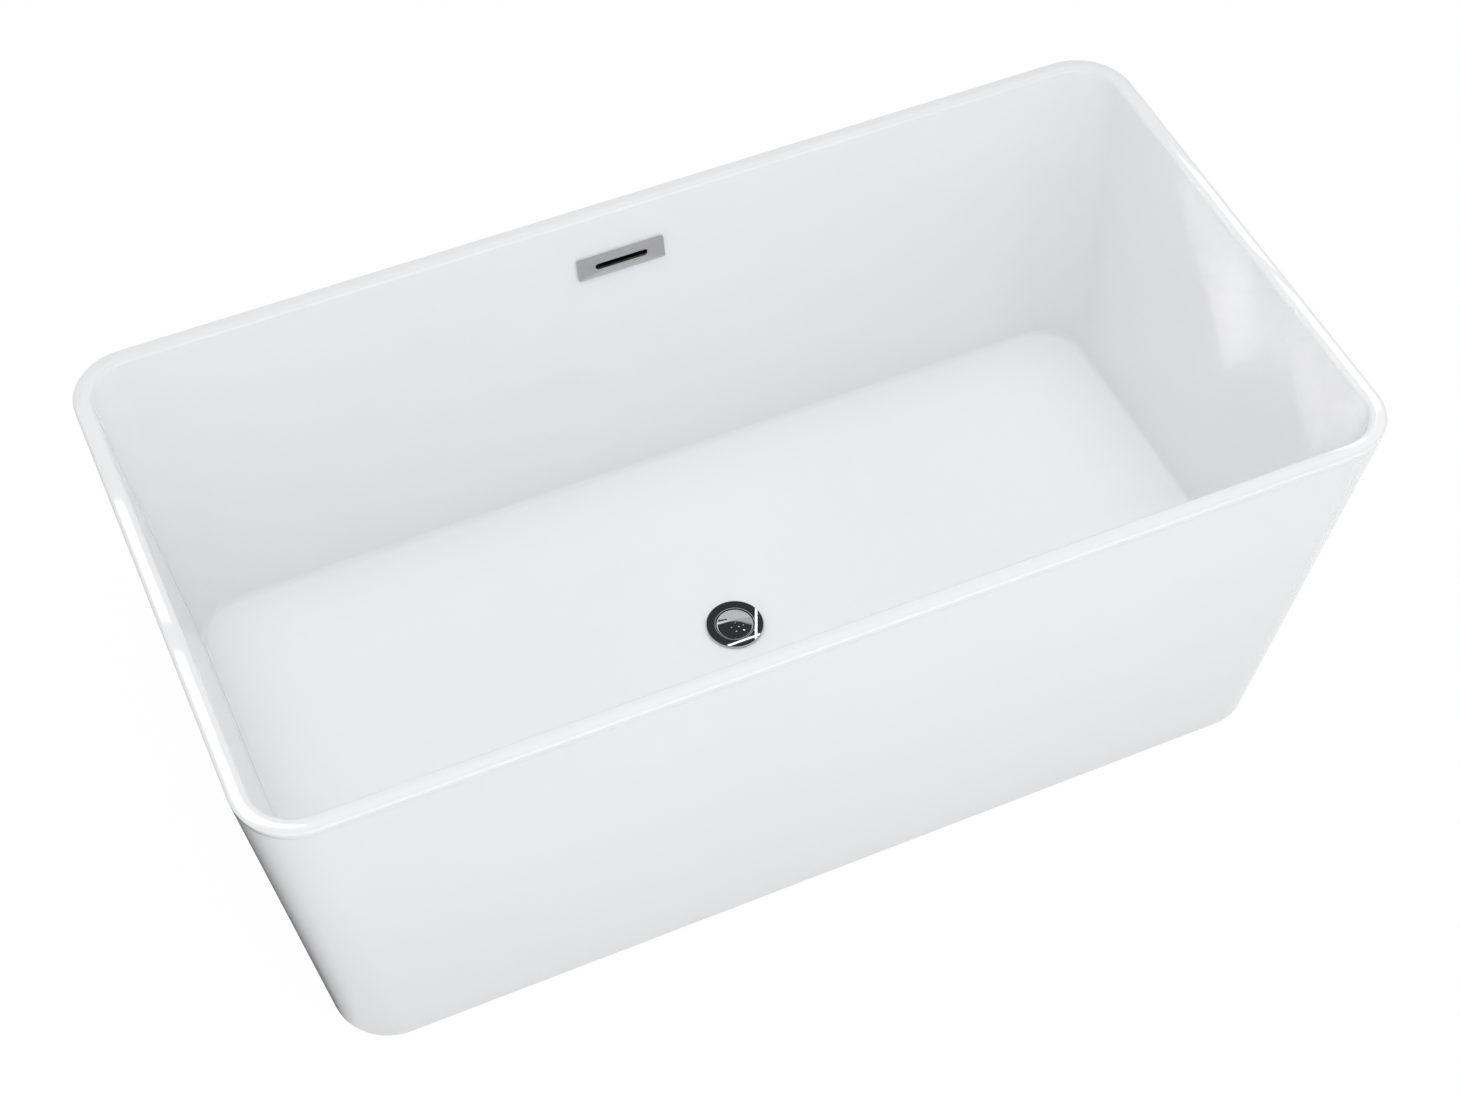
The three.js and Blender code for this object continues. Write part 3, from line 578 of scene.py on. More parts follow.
def drainTurned(name, profile, radius=0.0004, columns=160, closed=False, steps=5):
    # a profile of (radius, height above the floor) with soft corners, turned round the drain's axis
    points = softened(drainHeights(profile), radius, steps, closed)
    return turnedMesh(name, points, columns, (0, drainSpot["y"]), closed)


def drainFlangeMesh():
    # flat ring round a bowl; the bowl's cone is the stopper's seat and its barrel goes down to the waste
    f, crown, step, seat = drain["flange"], drain["crown"], drain["step"], 0.0016
    profile = [
        (drain["bore"], drain["foot"]), (drain["barrel"], drain["foot"]), (drain["barrel"], -0.007),
        (drain["neck"], -0.0015), (drain["neck"], seat), (f - 0.0010, seat), (f, 0.0022),
        (f, crown - 0.0008), (f - 0.0009, crown), (step + 0.0006, crown), (step, crown - 0.0007),
        (step - 0.0006, 0.0014), (0.0205, -0.0022), (drain["bore"], -0.0045),
    ]
    parts = [drainTurned("ring", profile, 0.0005, closed=True)]
    (inner, outer), (low, high), half = drain["hub"], drain["bars"], drain["spokeWidth"] / 2
    hub = [(inner, low), (outer, low), (outer, high), (inner, high)]
    parts.append(drainTurned("hub", hub, closed=True, columns=64))
    spoke = softened([(-half, low), (half, low), (half, high), (-half, high)], 0.0006, 4, True)
    for k in range(drain["spokes"]):
        a = math.pi / 4 + k * math.pi / 2
        reach = np.array(drain["spokeSpan"])[:, None]
        x = reach * math.cos(a) - spoke[:, 0] * math.sin(a)
        y = reach * math.sin(a) + spoke[:, 0] * math.cos(a) + drainSpot["y"]
        z = spoke[:, 1] + 0 * reach + drainSpot["z"]
        parts.append(meshFromGrid("spoke", np.stack([x, y, z], -1)))
    return joinMeshes("flange", *parts)


def stopperCapMesh():
    # shallow dome with a rounded edge over a hub that is bored for the stem
    cap, top, shoulder = drain["cap"], drain["capTop"], drain["capEdge"] + 0.0008
    t = np.linspace(0, 1, 26)
    dome = [((cap - 0.0009) * (1 - u), shoulder + (top - shoulder) * math.sin(u * math.pi / 2)) for u in t]
    under = [
        (0, 0.0036), (0.0033, 0.0036), (0.0033, -0.0014), (0.0137, -0.0014), (0.0137, 0.0016), (0.0215, 0.0016),
        (cap - 0.0006, 0.0021), (cap, drain["capEdge"]),
    ]
    points = np.vstack([softened(drainHeights(under), 0.0003, 4), drainHeights(dome)])
    return turnedMesh("cap", points, 160, (0, drainSpot["y"]))


def makeDrain():
    addPiece("drainRing", tidyMesh(drainFlangeMesh(), 40), "tub", "chrome", chromePlate, "drain_flange")
    addPiece("stopperDisc", tidyMesh(stopperCapMesh(), 40), "stopper", "chrome", chromePlate, "stopper_cap")
    seal = [(0.0141, -0.0011), (0.0202, -0.0019), (0.0212, -0.0012), (0.0209, 0.0013), (0.0141, 0.0013)]
    seal = tidyMesh(drainTurned("seal", seal, 0.0005, closed=True), 40)
    addPiece("stopperRing", seal, "stopper", "seal_rubber", sealRubber, "stopper_seal")


def slotPrism(length, height, low, high, rim=0.0006):
    # round-ended slot through the cover, a little wider at its mouth so that the edge is broken
    corner, outside = height / 2 - 1e-5, 0.002
    straight = [length / 2, -height / 2, height / 2, corner]
    flared = [length / 2 + rim, -height / 2 - rim, height / 2 + rim, corner + rim]
    rows = [[*straight, low], [*straight, high - rim], [*flared, high], [*flared, high + outside]]
    return tidyMesh(cappedMesh("slot", ringGrid(rows, arc=12, runLong=4, runShort=2)))


def makeOverflow():
    # a shallow box with its open side to the wall, and the slot cut through its face
    w, h, proud = overflow["width"], overflow["height"], overflow["proud"]
    cover = tidyMesh(plateMesh("cover", w, h, 0.0015, 0.0003, proud, 0.0007))
    room = tidyMesh(plateMesh("room", w - 0.004, h - 0.004, 0.001, -0.001, proud - 0.0018))
    slot = slotPrism(overflow["slotLength"], overflow["slotHeight"], -0.002, proud)
    cover = placed(shaded(cutAway(cover, room, slot), 28), overflowPlace)
    addPiece("overflowPlate", cover, "tub", "chrome", satinChrome, "overflow_cover")


makeDrain()
makeOverflow()
print("drain and overflow made")


def lumps(points, size, seed):
    # smooth pseudo-random field from -1 to 1: a sum of sine waves in fixed scattered directions
    rng = np.random.default_rng(seed)
    field = np.zeros(points.shape[:-1])
    for _ in range(9):
        direction = rng.normal(size=3)
        direction /= np.linalg.norm(direction)
        field += np.sin(points @ direction * 2 * np.pi / (size * rng.uniform(0.6, 1.6)) + rng.uniform(0, 6.28))
    return field / 4.5  # half the number of waves


def backingGrid():
    # the fibreglass skin: smooth where it meets the sheet, uneven on its back
    near = tub["sheet"] + tub["backingGap"]
    far = near + tub["backingThick"]
    top, foot, fillet = tub["backingTop"], tub["backingFoot"], tub["fillet"]
    hole, bottomRows = drainSpot["hole"], 30
    holeRow = np.array([hole, drainSpot["y"] - hole, drainSpot["y"] + hole, hole, foot])
    footRow = np.array(insetRow(innerRow(tub["floorHeight"]), fillet * 0.5, foot))
    bottom = ringGrid(holeRow + (footRow - holeRow) * np.linspace(0, 1, bottomRows)[:, None] ** 1.2)
    wall = [insetRow(innerRow(tub["floorHeight"], far), 0.001, foot + 0.007)]
    wall += [innerRow(z, far) for z in np.linspace(tub["floorHeight"] + fillet, top, 40)]
    rough = np.concatenate([bottom, ringGrid(wall)], 0)
    push = 0.0005 * lumps(rough, 0.045, 4) + 0.00025 * lumps(rough, 0.012, 9)
    outward = rough - np.array([0, -0.02, 0])
    outward[..., 2] = 0
    outward /= np.maximum(np.linalg.norm(outward, axis=-1, keepdims=True), 1e-6)
    # the walls swell outwards and the bottom up or down; the hole's rim, the corner and the top edge stay put
    wallSpan, bottomSpan = slice(bottomRows + 1, -1), slice(1, bottomRows - 1)
    rough[wallSpan] += outward[wallSpan] * push[wallSpan, :, None]
    rough[bottomSpan, :, 2] += push[bottomSpan]
    inner = [innerRow(z, near) for z in np.linspace(top, tub["floorHeight"] + fillet, 10)]
    inner = ringGrid(inner + filletRows(near))
    return np.concatenate([rough, inner, floorGrid(near)], 0)


def refinedCopy(node, bevel):
    # a welded copy of a plain solid with its flat faces joined and its edges broken
    source = bpy.data.objects[node]
    mesh = source.data.copy()
    mesh.transform(source.matrix_world)
    work = bmesh.new()
    work.from_mesh(mesh)
    bmesh.ops.remove_doubles(work, verts=work.verts, dist=2e-6)
    bmesh.ops.dissolve_limit(work, angle_limit=math.radians(1.5), verts=work.verts, edges=work.edges)
    work.to_mesh(mesh)
    work.free()
    piece = linkNew("edgeWork", mesh)
    step = piece.modifiers.new("edges", "BEVEL")
    step.width = bevel
    step.segments = 3
    step.limit_method = "ANGLE"
    step.angle_limit = math.radians(30)
    step.use_clamp_overlap = True
    finished = applyModifiers(piece)
    bpy.data.objects.remove(piece)
    return shaded(finished, 40)


frameLook = {
    "crossbars": ("end_crossbar_left", "end_crossbar_right", "inner_crossbar_left", "inner_crossbar_right"),
    "rails": ("frame_rail_front", "frame_rail_back"),
    "tubeLow": 0.1192, "tubeHigh": 0.1442, "half": 0.0125, "endX": 0.52, "innerX": 0.14, "railY": (-0.202, 0.158),
    "bead": 0.0014, "ripple": 0.0026, "beadInset": 0.001,
}


def beadMesh(start, end, columns=10):
    # weld bead: a thin tube along a line, swelling and narrowing with the ripple's pitch
    start, end = np.asarray(start, float), np.asarray(end, float)
    span = np.linalg.norm(end - start)
    rows = max(6, int(span / frameLook["ripple"] * 6))
    t = np.linspace(0, 1, rows)[:, None]
    along = (end - start) / span
    side = np.cross(along, [0.3, 0.5, 0.8])
    side /= np.linalg.norm(side)
    up = np.cross(along, side)
    angle = np.linspace(0, 2 * np.pi, columns, endpoint=False)
    radius = frameLook["bead"] * (0.85 + 0.15 * np.cos(t * span / frameLook["ripple"] * 2 * np.pi))
    radius = radius * np.sqrt(np.clip(1 - (2 * t - 1) ** 8, 0, 1))
    ring = np.cos(angle)[:, None] * side + np.sin(angle)[:, None] * up
    grid = (start + (end - start) * t)[:, None] + radius[:, None] * ring[None]
    return meshFromGrid("bead", grid)


def weldBeads():
    # where a rail meets a crossbar, a bead up each side and one below
    low, high, half = frameLook["tubeLow"], frameLook["tubeHigh"], frameLook["half"]
    inset = frameLook["beadInset"]
    beads = []
    for y in frameLook["railY"]:
        for side in (-1, 1):
            x = side * (frameLook["endX"] - half)
            for dy in (-half, half):
                beads.append(beadMesh((x, y + dy, low + inset), (x, y + dy, high - inset)))
            beads.append(beadMesh((x, y - half + inset, low), (x, y + half - inset, low)))
            x = side * frameLook["innerX"]
            inward = y + half * (1 if y < 0 else -1)
            for dx in (-half, half):
                beads.append(beadMesh((x + dx, inward, low + inset), (x + dx, inward, high - inset)))
            beads.append(beadMesh((x - half + inset, inward, low), (x + half - inset, inward, low)))
    return joinMeshes("beads", *beads)


def screwMesh(name, profile, thread, x, y, columns, pitch, depth):
    # profile of (radius, height) turned round an axis; between the thread's two heights it is cut by a helix
    profile = np.asarray(profile, float)
    rows = [profile[0]]
    for a, b in zip(profile[:-1], profile[1:]):
        threaded = thread[0] <= min(a[1], b[1]) and max(a[1], b[1]) <= thread[1]
        count = max(1, int(abs(b[1] - a[1]) / pitch * 8)) if threaded else 1
        rows += [a + (b - a) * k / count for k in range(1, count + 1)]
    rows = np.asarray(rows)
    angle = np.linspace(0, 2 * np.pi, columns, endpoint=False)
    z = rows[:, 1:]
    inside = ((z > thread[0]) & (z < thread[1]) & (rows[:, :1] > depth * 3)).astype(float)
    radius = rows[:, :1] - inside * depth * (0.5 - 0.5 * np.cos(2 * np.pi * z / pitch - angle))
    grid = np.stack([x + radius * np.cos(angle), y + radius * np.sin(angle), z + 0 * angle], -1)
    return tidyMesh(meshFromGrid(name, grid), 55)


def hexMesh(name, x, y, low, high, flats, bore, chamfer=0.0012, mouth=0.0004):
    # hexagon cut by a cone at each end, round a bore that widens at its mouths
    angle = np.linspace(0, 2 * np.pi, 72, endpoint=False)
    step = np.linspace(0, chamfer, 5)
    z = np.concatenate([[low, low + mouth], low + step, (high - step)[::-1], [high - mouth, high]])
    cone = flats / 2 * 0.98 + np.minimum(z - low, high - z) * 1.7
    side = flats / 2 / np.cos(np.mod(angle + np.pi / 6, np.pi / 3) - np.pi / 6)
    radius = np.minimum(side, cone[:, None])
    radius[0] = radius[-1] = bore + mouth
    radius[1] = radius[-2] = bore
    order = [1, 0, *range(2, len(z) - 2), len(z) - 1, len(z) - 2]
    radius, z = radius[order], z[order]
    grid = np.stack([x + radius * np.cos(angle), y + radius * np.sin(angle), z[:, None] + 0 * angle], -1)
    return tidyMesh(meshFromGrid(name, grid, wrapRows=True), 30)


# the six levelling feet: a threaded stud with a collar for a spanner, a pad, and a locknut of (low, high, flats)
foot = {
    "places": {
        "front_left": (-0.52, -0.23), "front_right": (0.52, -0.23), "back_left": (-0.52, 0.23),
        "back_right": (0.52, 0.23), "middle_left": (-0.14, -0.022), "middle_right": (0.14, -0.022),
    },
    "stud": 0.0058, "studLow": 0.0073, "studTop": 0.140, "threadLow": 0.030, "pitch": 0.00175, "depth": 0.0008,
    "collar": (0.020, 0.028, 0.016), "nut": (0.1039, 0.1099, 0.019), "bore": 0.0062,
    "grooves": (0.0205, 0.004, 0.0195), "grooveDepth": 0.0007, "groovePitch": 0.0033,
}


def studMesh(x, y):
    r, low, top = foot["stud"], foot["studLow"], foot["studTop"]
    profile = [(0, low), (r - 0.001, low), (r, low + 0.001), (r, top - 0.0012), (r - 0.0012, top), (0, top)]
    rod = screwMesh("rod", profile, (foot["threadLow"], top), x, y, 24, foot["pitch"], foot["depth"])
    collarLow, collarHigh, flats = foot["collar"]
    collar = hexMesh("collar", x, y, collarLow, collarHigh, flats, r - 0.0003)
    return joinMeshes("stud", rod, collar)


def padMesh(x, y):
    # moulded foot: a ribbed skirt round a socket for the stud, with shallow grip grooves underneath
    outer, inner, edge = foot["grooves"]
    r = np.linspace(outer, inner, 34)
    wave = np.clip(np.cos((r - inner) / foot["groovePitch"] * 2 * np.pi), 0, 1) ** 0.5
    sole = foot["grooveDepth"] * wave * (r < edge)
    profile = softened([
        (0, 0.007), (0.0062, 0.007), (0.0062, 0.014), (0.0095, 0.014), (0.0105, 0.0132), (0.0112, 0.009),
        (0.0215, 0.0045), (0.022, 0.0038), (0.022, 0.0012), (0.0212, 0.0),
    ], 0.0008, 5)
    points = np.vstack([profile, np.stack([r, sole], -1), [(0, 0)]])
    return tidyMesh(turnedMesh("pad", points, 72, (x, y)), 50)


def makeFeet():
    low, high, flats = foot["nut"]
    for name, (x, y) in foot["places"].items():
        body = "foot_" + name
        addPiece("stud_" + name, studMesh(x, y), body, "zinc", zincPlate, "foot_stud_" + name)
        addPiece("pad_" + name, padMesh(x, y), body, "pad_rubber", padRubber, "foot_pad_" + name)
        nut = hexMesh("nut", x, y, low, high, flats, foot["bore"])
        addPiece("locknut_" + name, nut, "tub", "zinc", zincPlate, "foot_locknut_" + name)


def crossRecess(x, y, top, size, width, depth, upward):
    # two crossed slots for a driver
    low, high = (top - depth, top + 0.01) if upward else (top - 0.01, top + depth)
    slots = []
    for w, h in ((size, width), (width, size)):
        slot = tidyMesh(plateMesh("slot", w, h, width * 0.3, low, high))
        slots.append(placed(slot, Matrix.Translation((x, y, 0))))
    return slots


def drivenScrew(x, y, profile, thread, cut, recess, columns=32):
    # cut is the thread's pitch and depth; recess is the cross's height, size, width, depth and whether it faces up
    mesh = screwMesh("screw", profile, thread, x, y, columns, *cut)
    return shaded(cutAway(mesh, *crossRecess(x, y, *recess)), 40)


def fourPlaces(look):
    return [(end + "_" + side, x, y) for side, x in zip(("left", "right"), look["x"])
            for end, y in zip(("front", "back"), look["y"])]


# pan-head screws up through the rails into the board, and button-head screws down through the straps
boardScrews = {"x": (-0.33, 0.33), "y": (-0.202, 0.158), "head": 0.1189, "tip": 0.1402, "cut": (0.0018, 0.0006)}
strapScrews = {"x": (-0.52, 0.52), "y": (-0.319, 0.319), "seat": 0.0106, "cut": (0.0009, 0.0003)}


def makeScrews():
    head, tip = boardScrews["head"], boardScrews["tip"]
    top = head - 0.0042
    pan = [(0, top), (0.0045, head - 0.0039), (0.0068, head - 0.0018), (0.007, head), (0.003, head)]
    pan = softened(pan, 0.0006, 4)
    pan = np.vstack([pan, [(0.003, tip - 0.004), (0.0003, tip)], [(0, tip)]])
    for place, x, y in fourPlaces(boardScrews):
        recess = (top, 0.0062, 0.0014, 0.0022, False)
        mesh = drivenScrew(x, y, pan, (head + 0.001, tip), boardScrews["cut"], recess)
        addPiece("boardScrew_" + place, mesh, "tub", "zinc", zincPlate, "board_screw_" + place)
    seat = strapScrews["seat"]
    low, top = seat - 0.0033, seat + 0.0034
    button = [(0, low), (0.0022, low), (0.0022, seat), (0.005, seat), (0.0048, seat + 0.0014),
              (0.0036, seat + 0.0028), (0.0018, top), (0, top)]
    for place, x, y in fourPlaces(strapScrews):
        recess = (top, 0.0056, 0.0012, 0.0018, True)
        mesh = drivenScrew(x, y, button, (low, seat - 0.0002), strapScrews["cut"], recess)
        addPiece("skirtScrew_" + place, mesh, "tub", "zinc", zincPlate, "skirt_screw_" + place)


def makeBase():
    backing = tidyMesh(meshFromGrid("backing", backingGrid(), wrapRows=True), 50, weld=1e-6)
    backing = shaded(cutAway(backing, *overflowCutters()), 50)
    addPiece("glassBacking", backing, "tub", "fibreglass", fibreglass, "basin_backing")
    addPiece("plyPanel", refinedCopy("floor_board", 0.0012), "tub", "plywood", plywood, "floor_board")
    for node in (*frameLook["crossbars"], *frameLook["rails"]):
        addPiece("steel_" + node, refinedCopy(node, 0.0007), "tub", "galvanised", galvanised, node)
    addPiece("frameWelds", tidyMesh(weldBeads(), 60), "tub", "galvanised", galvanised)


makeBase()
makeFeet()
makeScrews()
print("base and feet made")

# the waste below the drain and the hose to it: heights, radii, and the hose's ribs
plumbing = {
    "washerTop": 0.1605, "wasteTop": 0.1572, "socketFoot": 0.062, "port": 0.009, "portBore": 0.0075,
    "portZ": 0.094, "portReach": 0.062, "portStart": 0.018, "grips": 8, "gripRadius": 0.0275,
    "hoseOuter": 0.0112, "hoseInner": 0.0094, "ribPitch": 0.0042, "ribDepth": 0.0009, "cuff": 0.022, "bend": 0.071,
    "outlet": (0, -0.102, -0.0215), "inlet": 0.036, "upperClamp": (0, -0.116, -0.0215), "lowerClamp": 0.050,
}


def aroundDrain(name, profile, radius=0.0005):
    # a closed section with soft corners, turned round the drain's axis
    return tidyMesh(turnedMesh(name, softened(profile, radius, 4, True), 96, (0, drainSpot["y"]), True), 42)


def tubeAlongY(radius, near, far, z):
    pipe = turnedMesh("pipe", [(0, near), (radius, near), (radius, far), (0, far)], 56)
    pipe = placed(tidyMesh(pipe), Matrix.Rotation(-math.pi / 2, 4, "X"))
    return placed(pipe, Matrix.Translation((0, drainSpot["y"], z)))


def wasteBodyMesh():
    # socket and flange round a stepped bore, with a barbed side port for the hose
    low, top = plumbing["socketFoot"], plumbing["wasteTop"]
    shell = [(0, low), (0.024, low), (0.024, 0.082), (0.0262, 0.085), (0.027, 0.088), (0.027, top - 0.006),
             (0.036, top - 0.006), (0.036, top), (0, top)]
    solid = tidyMesh(turnedMesh("waste", softened(shell, 0.0009, 4), 96, (0, drainSpot["y"])))
    under, over = low - 0.001, top + 0.001
    bore = [(0, under), (0.0194, under), (0.0194, 0.082), (0.017, 0.082), (0.017, 0.088), (0.021, 0.092),
            (0.021, over), (0, over)]
    bore = tidyMesh(turnedMesh("bore", bore, 96, (0, drainSpot["y"])))
    z, reach, port = plumbing["portZ"], plumbing["portReach"], plumbing["port"]
    spigot = tubeAlongY(port, plumbing["portStart"], reach, z)
    barb = tubeAlongY(port + 0.0003, reach - 0.005, reach - 0.002, z)
    way = tubeAlongY(plumbing["portBore"], 0.010, reach + 0.005, z)
    return shaded(combined(solid, ("UNION", spigot), ("UNION", barb), ("DIFFERENCE", bore), ("DIFFERENCE", way)), 35)


def tailNutMesh():
    # a cap nut with finger grips round it
    parts = [aroundDrain("nut", [
        (0.0194, 0.054), (0.028, 0.054), (0.028, 0.076), (0.0244, 0.076), (0.0244, 0.057), (0.0194, 0.057)])]
    for k in range(plumbing["grips"]):
        turn = Matrix.Rotation(k * 2 * math.pi / plumbing["grips"], 4, "Z")
        place = Matrix.Translation((0, drainSpot["y"], 0)) @ turn @ Matrix.Translation((plumbing["gripRadius"], 0, 0))
        grip = tidyMesh(plateMesh("grip", 0.005, 0.005, 0.0016, 0.055, 0.075, 0.0008), 40)
        parts.append(placed(grip, place))
    return joinMeshes("tailNut", *parts)


def coilMesh(radius, wire, low, high, turns):
    # round wire along a helix, closed by half balls at its ends
    t = np.linspace(0, 1, turns * 40 + 1)
    angle = 2 * np.pi * turns * t
    centre = np.stack([radius * np.cos(angle), radius * np.sin(angle), low + (high - low) * t], -1)
    outward = np.stack([np.cos(angle), np.sin(angle), 0 * angle], -1)
    along = np.gradient(centre, axis=0)
    along /= np.linalg.norm(along, axis=1, keepdims=True)
    up = np.cross(along, outward)
    ends = np.sqrt(np.clip(1 - (2 * t - 1) ** 400, 0, 1))[:, None]
    around = np.linspace(0, 2 * np.pi, 12, endpoint=False)
    ring = np.cos(around)[None, :, None] * outward[:, None] + np.sin(around)[None, :, None] * up[:, None]
    grid = centre[:, None] + wire * ends[:, None] * ring
    grid[..., 1] += drainSpot["y"]
    grid[..., 2] += drainSpot["z"]
    return tidyMesh(meshFromGrid("coil", grid), 60)


def makeWaste():
    def flatRing(name, node, inner, outer, low, high, slot, material):
        ring = aroundDrain(name, [(inner, low), (outer, low), (outer, high), (inner, high)], 0.0004)
        addPiece(name, ring, "tub", slot, material, node)

    def turnedPart(name, profile, columns):
        points = softened(drainHeights(profile), 0.0004, 4)
        return tidyMesh(turnedMesh(name, points, columns, (0, drainSpot["y"])), 40)

    z, top = drainSpot["z"], plumbing["washerTop"]
    flatRing("flangeGasket", "drain_gasket", 0.029, 0.038, z + 0.0003, z + 0.0013, "seal_rubber", sealRubber)
    flatRing("backWasher", "drain_washer", 0.0211, 0.035, top - 0.003, top, "seal_rubber", sealRubber)
    flatRing("tailSeal", "tailpiece_seal", 0.0193, 0.0236, 0.0573, 0.0617, "seal_rubber", sealRubber)
    flatRing("tailPipe", "tailpiece", 0.0174, 0.019, 0.010, 0.081, "black_plastic", blackPlastic)
    addPiece("wasteElbow", wasteBodyMesh(), "tub", "black_plastic", blackPlastic, "waste_body")
    addPiece("tailNut", tidyMesh(tailNutMesh(), 40), "tub", "black_plastic", blackPlastic, "tailpiece_nut")
    springTop, cupFloor, wire = -0.020, -0.0405, 0.00045
    stem = turnedPart("stem", [
        (0, -0.032), (0.003, -0.032), (0.003, springTop), (0.0052, springTop), (0.0052, -0.018), (0.003, -0.018),
        (0.003, 0.0033), (0, 0.0033)], 48)
    addPiece("stopperPost", stem, "stopper", "brass", turnedBrass, "stopper_stem")
    cup = turnedPart("cup", [
        (0, -0.042), (0.0077, -0.042), (0.0077, -0.0055), (0.0034, -0.0055), (0.0034, -0.007), (0.0056, -0.007),
        (0.0056, cupFloor), (0, cupFloor)], 64)
    addPiece("pushCartridge", cup, "tub", "brass", turnedBrass, "stopper_cartridge")
    coil = coilMesh(0.0043, wire, cupFloor + 0.00075, springTop - 0.00075, 6)
    addPiece("returnSpring", coil, "tub", "stainless", stainless, "stopper_spring")


def hoseRoute(count):
    # straight down beside the wall, one bend, then level to the waste's port; evenly spaced along its length
    down = np.array(overflowPlace.to_3x3() @ Vector((0, -1, 0)))
    start = np.array(overflowPlace @ Vector(plumbing["outlet"]))
    bend, portZ = plumbing["bend"], plumbing["portZ"]
    turn = start + down * ((portZ + bend - start[2]) / down[2])
    level = np.array([0, turn[1] - bend, portZ])
    end = np.array([0, drainSpot["y"] + plumbing["inlet"], portZ])
    handle = bend * 0.54  # makes the curve near enough to a quarter circle
    a, b = turn + down * handle, level + np.array([0, handle, 0])
    t = np.linspace(0, 1, 120)[:, None]
    curve = (1 - t) ** 3 * turn + 3 * (1 - t) ** 2 * t * a + 3 * (1 - t) * t ** 2 * b + t ** 3 * level
    route = np.vstack([start + (turn - start) * t[:-1], curve, (level + (end - level) * t)[1:]])
    length = np.concatenate([[0], np.cumsum(np.linalg.norm(np.diff(route, axis=0), axis=1))])
    even = np.linspace(0, length[-1], count)
    return np.stack([np.interp(even, length, route[:, k]) for k in range(3)], -1), even


def hoseMesh():
    # ribbed hose: a helical rib on a tube swept along the route, and a smooth bore
    centre, run = hoseRoute(620)
    along = np.gradient(centre, axis=0)
    along /= np.linalg.norm(along, axis=1, keepdims=True)
    across = np.array([1.0, 0, 0])
    up = np.cross(along, across)
    angle = np.linspace(0, 2 * np.pi, 28, endpoint=False)
    wave = 0.5 - 0.5 * np.cos(2 * np.pi * run[:, None] / plumbing["ribPitch"] - angle)
    cuff = np.clip(np.minimum(run, run[-1] - run) / plumbing["cuff"], 0, 1)[:, None] > 0.999
    radius = plumbing["hoseOuter"] - plumbing["ribDepth"] * wave * cuff
    ring = np.cos(angle)[None, :, None] * across + np.sin(angle)[None, :, None] * up[:, None]
    outer = centre[:, None] + radius[..., None] * ring
    inner = centre[:, None] + plumbing["hoseInner"] * ring
    return tidyMesh(meshFromGrid("hose", np.concatenate([outer, inner[::-6]], 0), wrapRows=True), 60)


def clampMesh():
    # worm-drive clamp: a band with rolled edges, a housing, and the slotted screw across it
    inner, half = plumbing["hoseOuter"] + 0.0003, 0.0045
    outer = inner + 0.0009
    band = softened([(inner, -half), (outer, -half), (outer, half), (inner, half)], 0.0003, 3, True)
    band = turnedMesh("band", band, 72, (0, 0), True)
    housing = plateMesh("housing", 0.0042, 0.011, 0.0012, -0.004, 0.004, 0.0006)
    placed(housing, Matrix.Translation((inner + 0.0023, 0, 0)))
    profile = [(0, -0.0085), (0.0030, -0.0085), (0.0032, -0.0082), (0.0032, -0.0062), (0.0016, -0.006),
               (0.0016, 0.0065), (0, 0.0065)]
    screw = screwMesh("worm", profile, (-0.0058, 0.0064), 0, 0, 24, 0.0014, 0.0003)
    slot = tidyMesh(plateMesh("slot", 0.0070, 0.0009, 0.0002, -0.0095, -0.0075))
    axis = Matrix.Translation((inner + 0.0024, 0, 0)) @ Matrix.Rotation(math.pi / 2, 4, "X")
    return joinMeshes("clamp", band, housing, placed(cutAway(screw, slot), axis))


def makeOverflowWorks():
    plainParts = (
        ("flangeSeal", "overflow_gasket", "seal_rubber", sealRubber, 0.0003),
        ("coverBezel", "overflow_bezel", "black_plastic", blackPlastic, 0.0002),
        ("overflowHousing", "overflow_body", "black_plastic", blackPlastic, 0.0006),
    )
    for name, node, slot, material, bevel in plainParts:
        addPiece(name, refinedCopy(node, bevel), "tub", slot, material, node)
    seat, low = 0.0018, -0.0132
    top = seat + 0.0011
    profile = [(0, -0.014), (0.0015, -0.014), (0.0019, low), (0.0019, seat), (0.0036, seat), (0.0034, seat + 0.0005),
               (0.0026, top), (0, top)]
    for side, label in ((-1, "left"), (1, "right")):
        recess = (top, 0.0038, 0.0008, 0.0008, True)
        mesh = drivenScrew(side * overflow["screwX"], 0, profile, (low, seat - 0.0004), (0.0009, 0.0003), recess, 28)
        placed(mesh, overflowPlace)
        addPiece("coverScrew_" + label, mesh, "tub", "stainless", stainless, "overflow_screw_" + label)
    addPiece("ribbedHose", hoseMesh(), "tub", "hose_plastic", hosePlastic, "overflow_hose")
    clampPlaces = (
        ("upper", overflowPlace @ Matrix.Translation(plumbing["upperClamp"])),
        ("lower", Matrix.Translation((0, drainSpot["y"] + plumbing["lowerClamp"], plumbing["portZ"]))),
    )
    for end, place in clampPlaces:
        clamp = placed(tidyMesh(clampMesh(), 40), place @ Matrix.Rotation(math.pi / 2, 4, "X"))
        addPiece(end + "Clamp", clamp, "tub", "stainless", stainless, "hose_clamp_" + end)


makeWaste()
makeOverflowWorks()
print("waste and overflow works made")

stageLook = {
    "tone": 0.62, "rough": 0.9, "reach": 60.0, "level": -0.0003,
    "glow": 1.05, "weight": 0.91,  # the floor's own light, and its share in what the camera and mirrors see
}


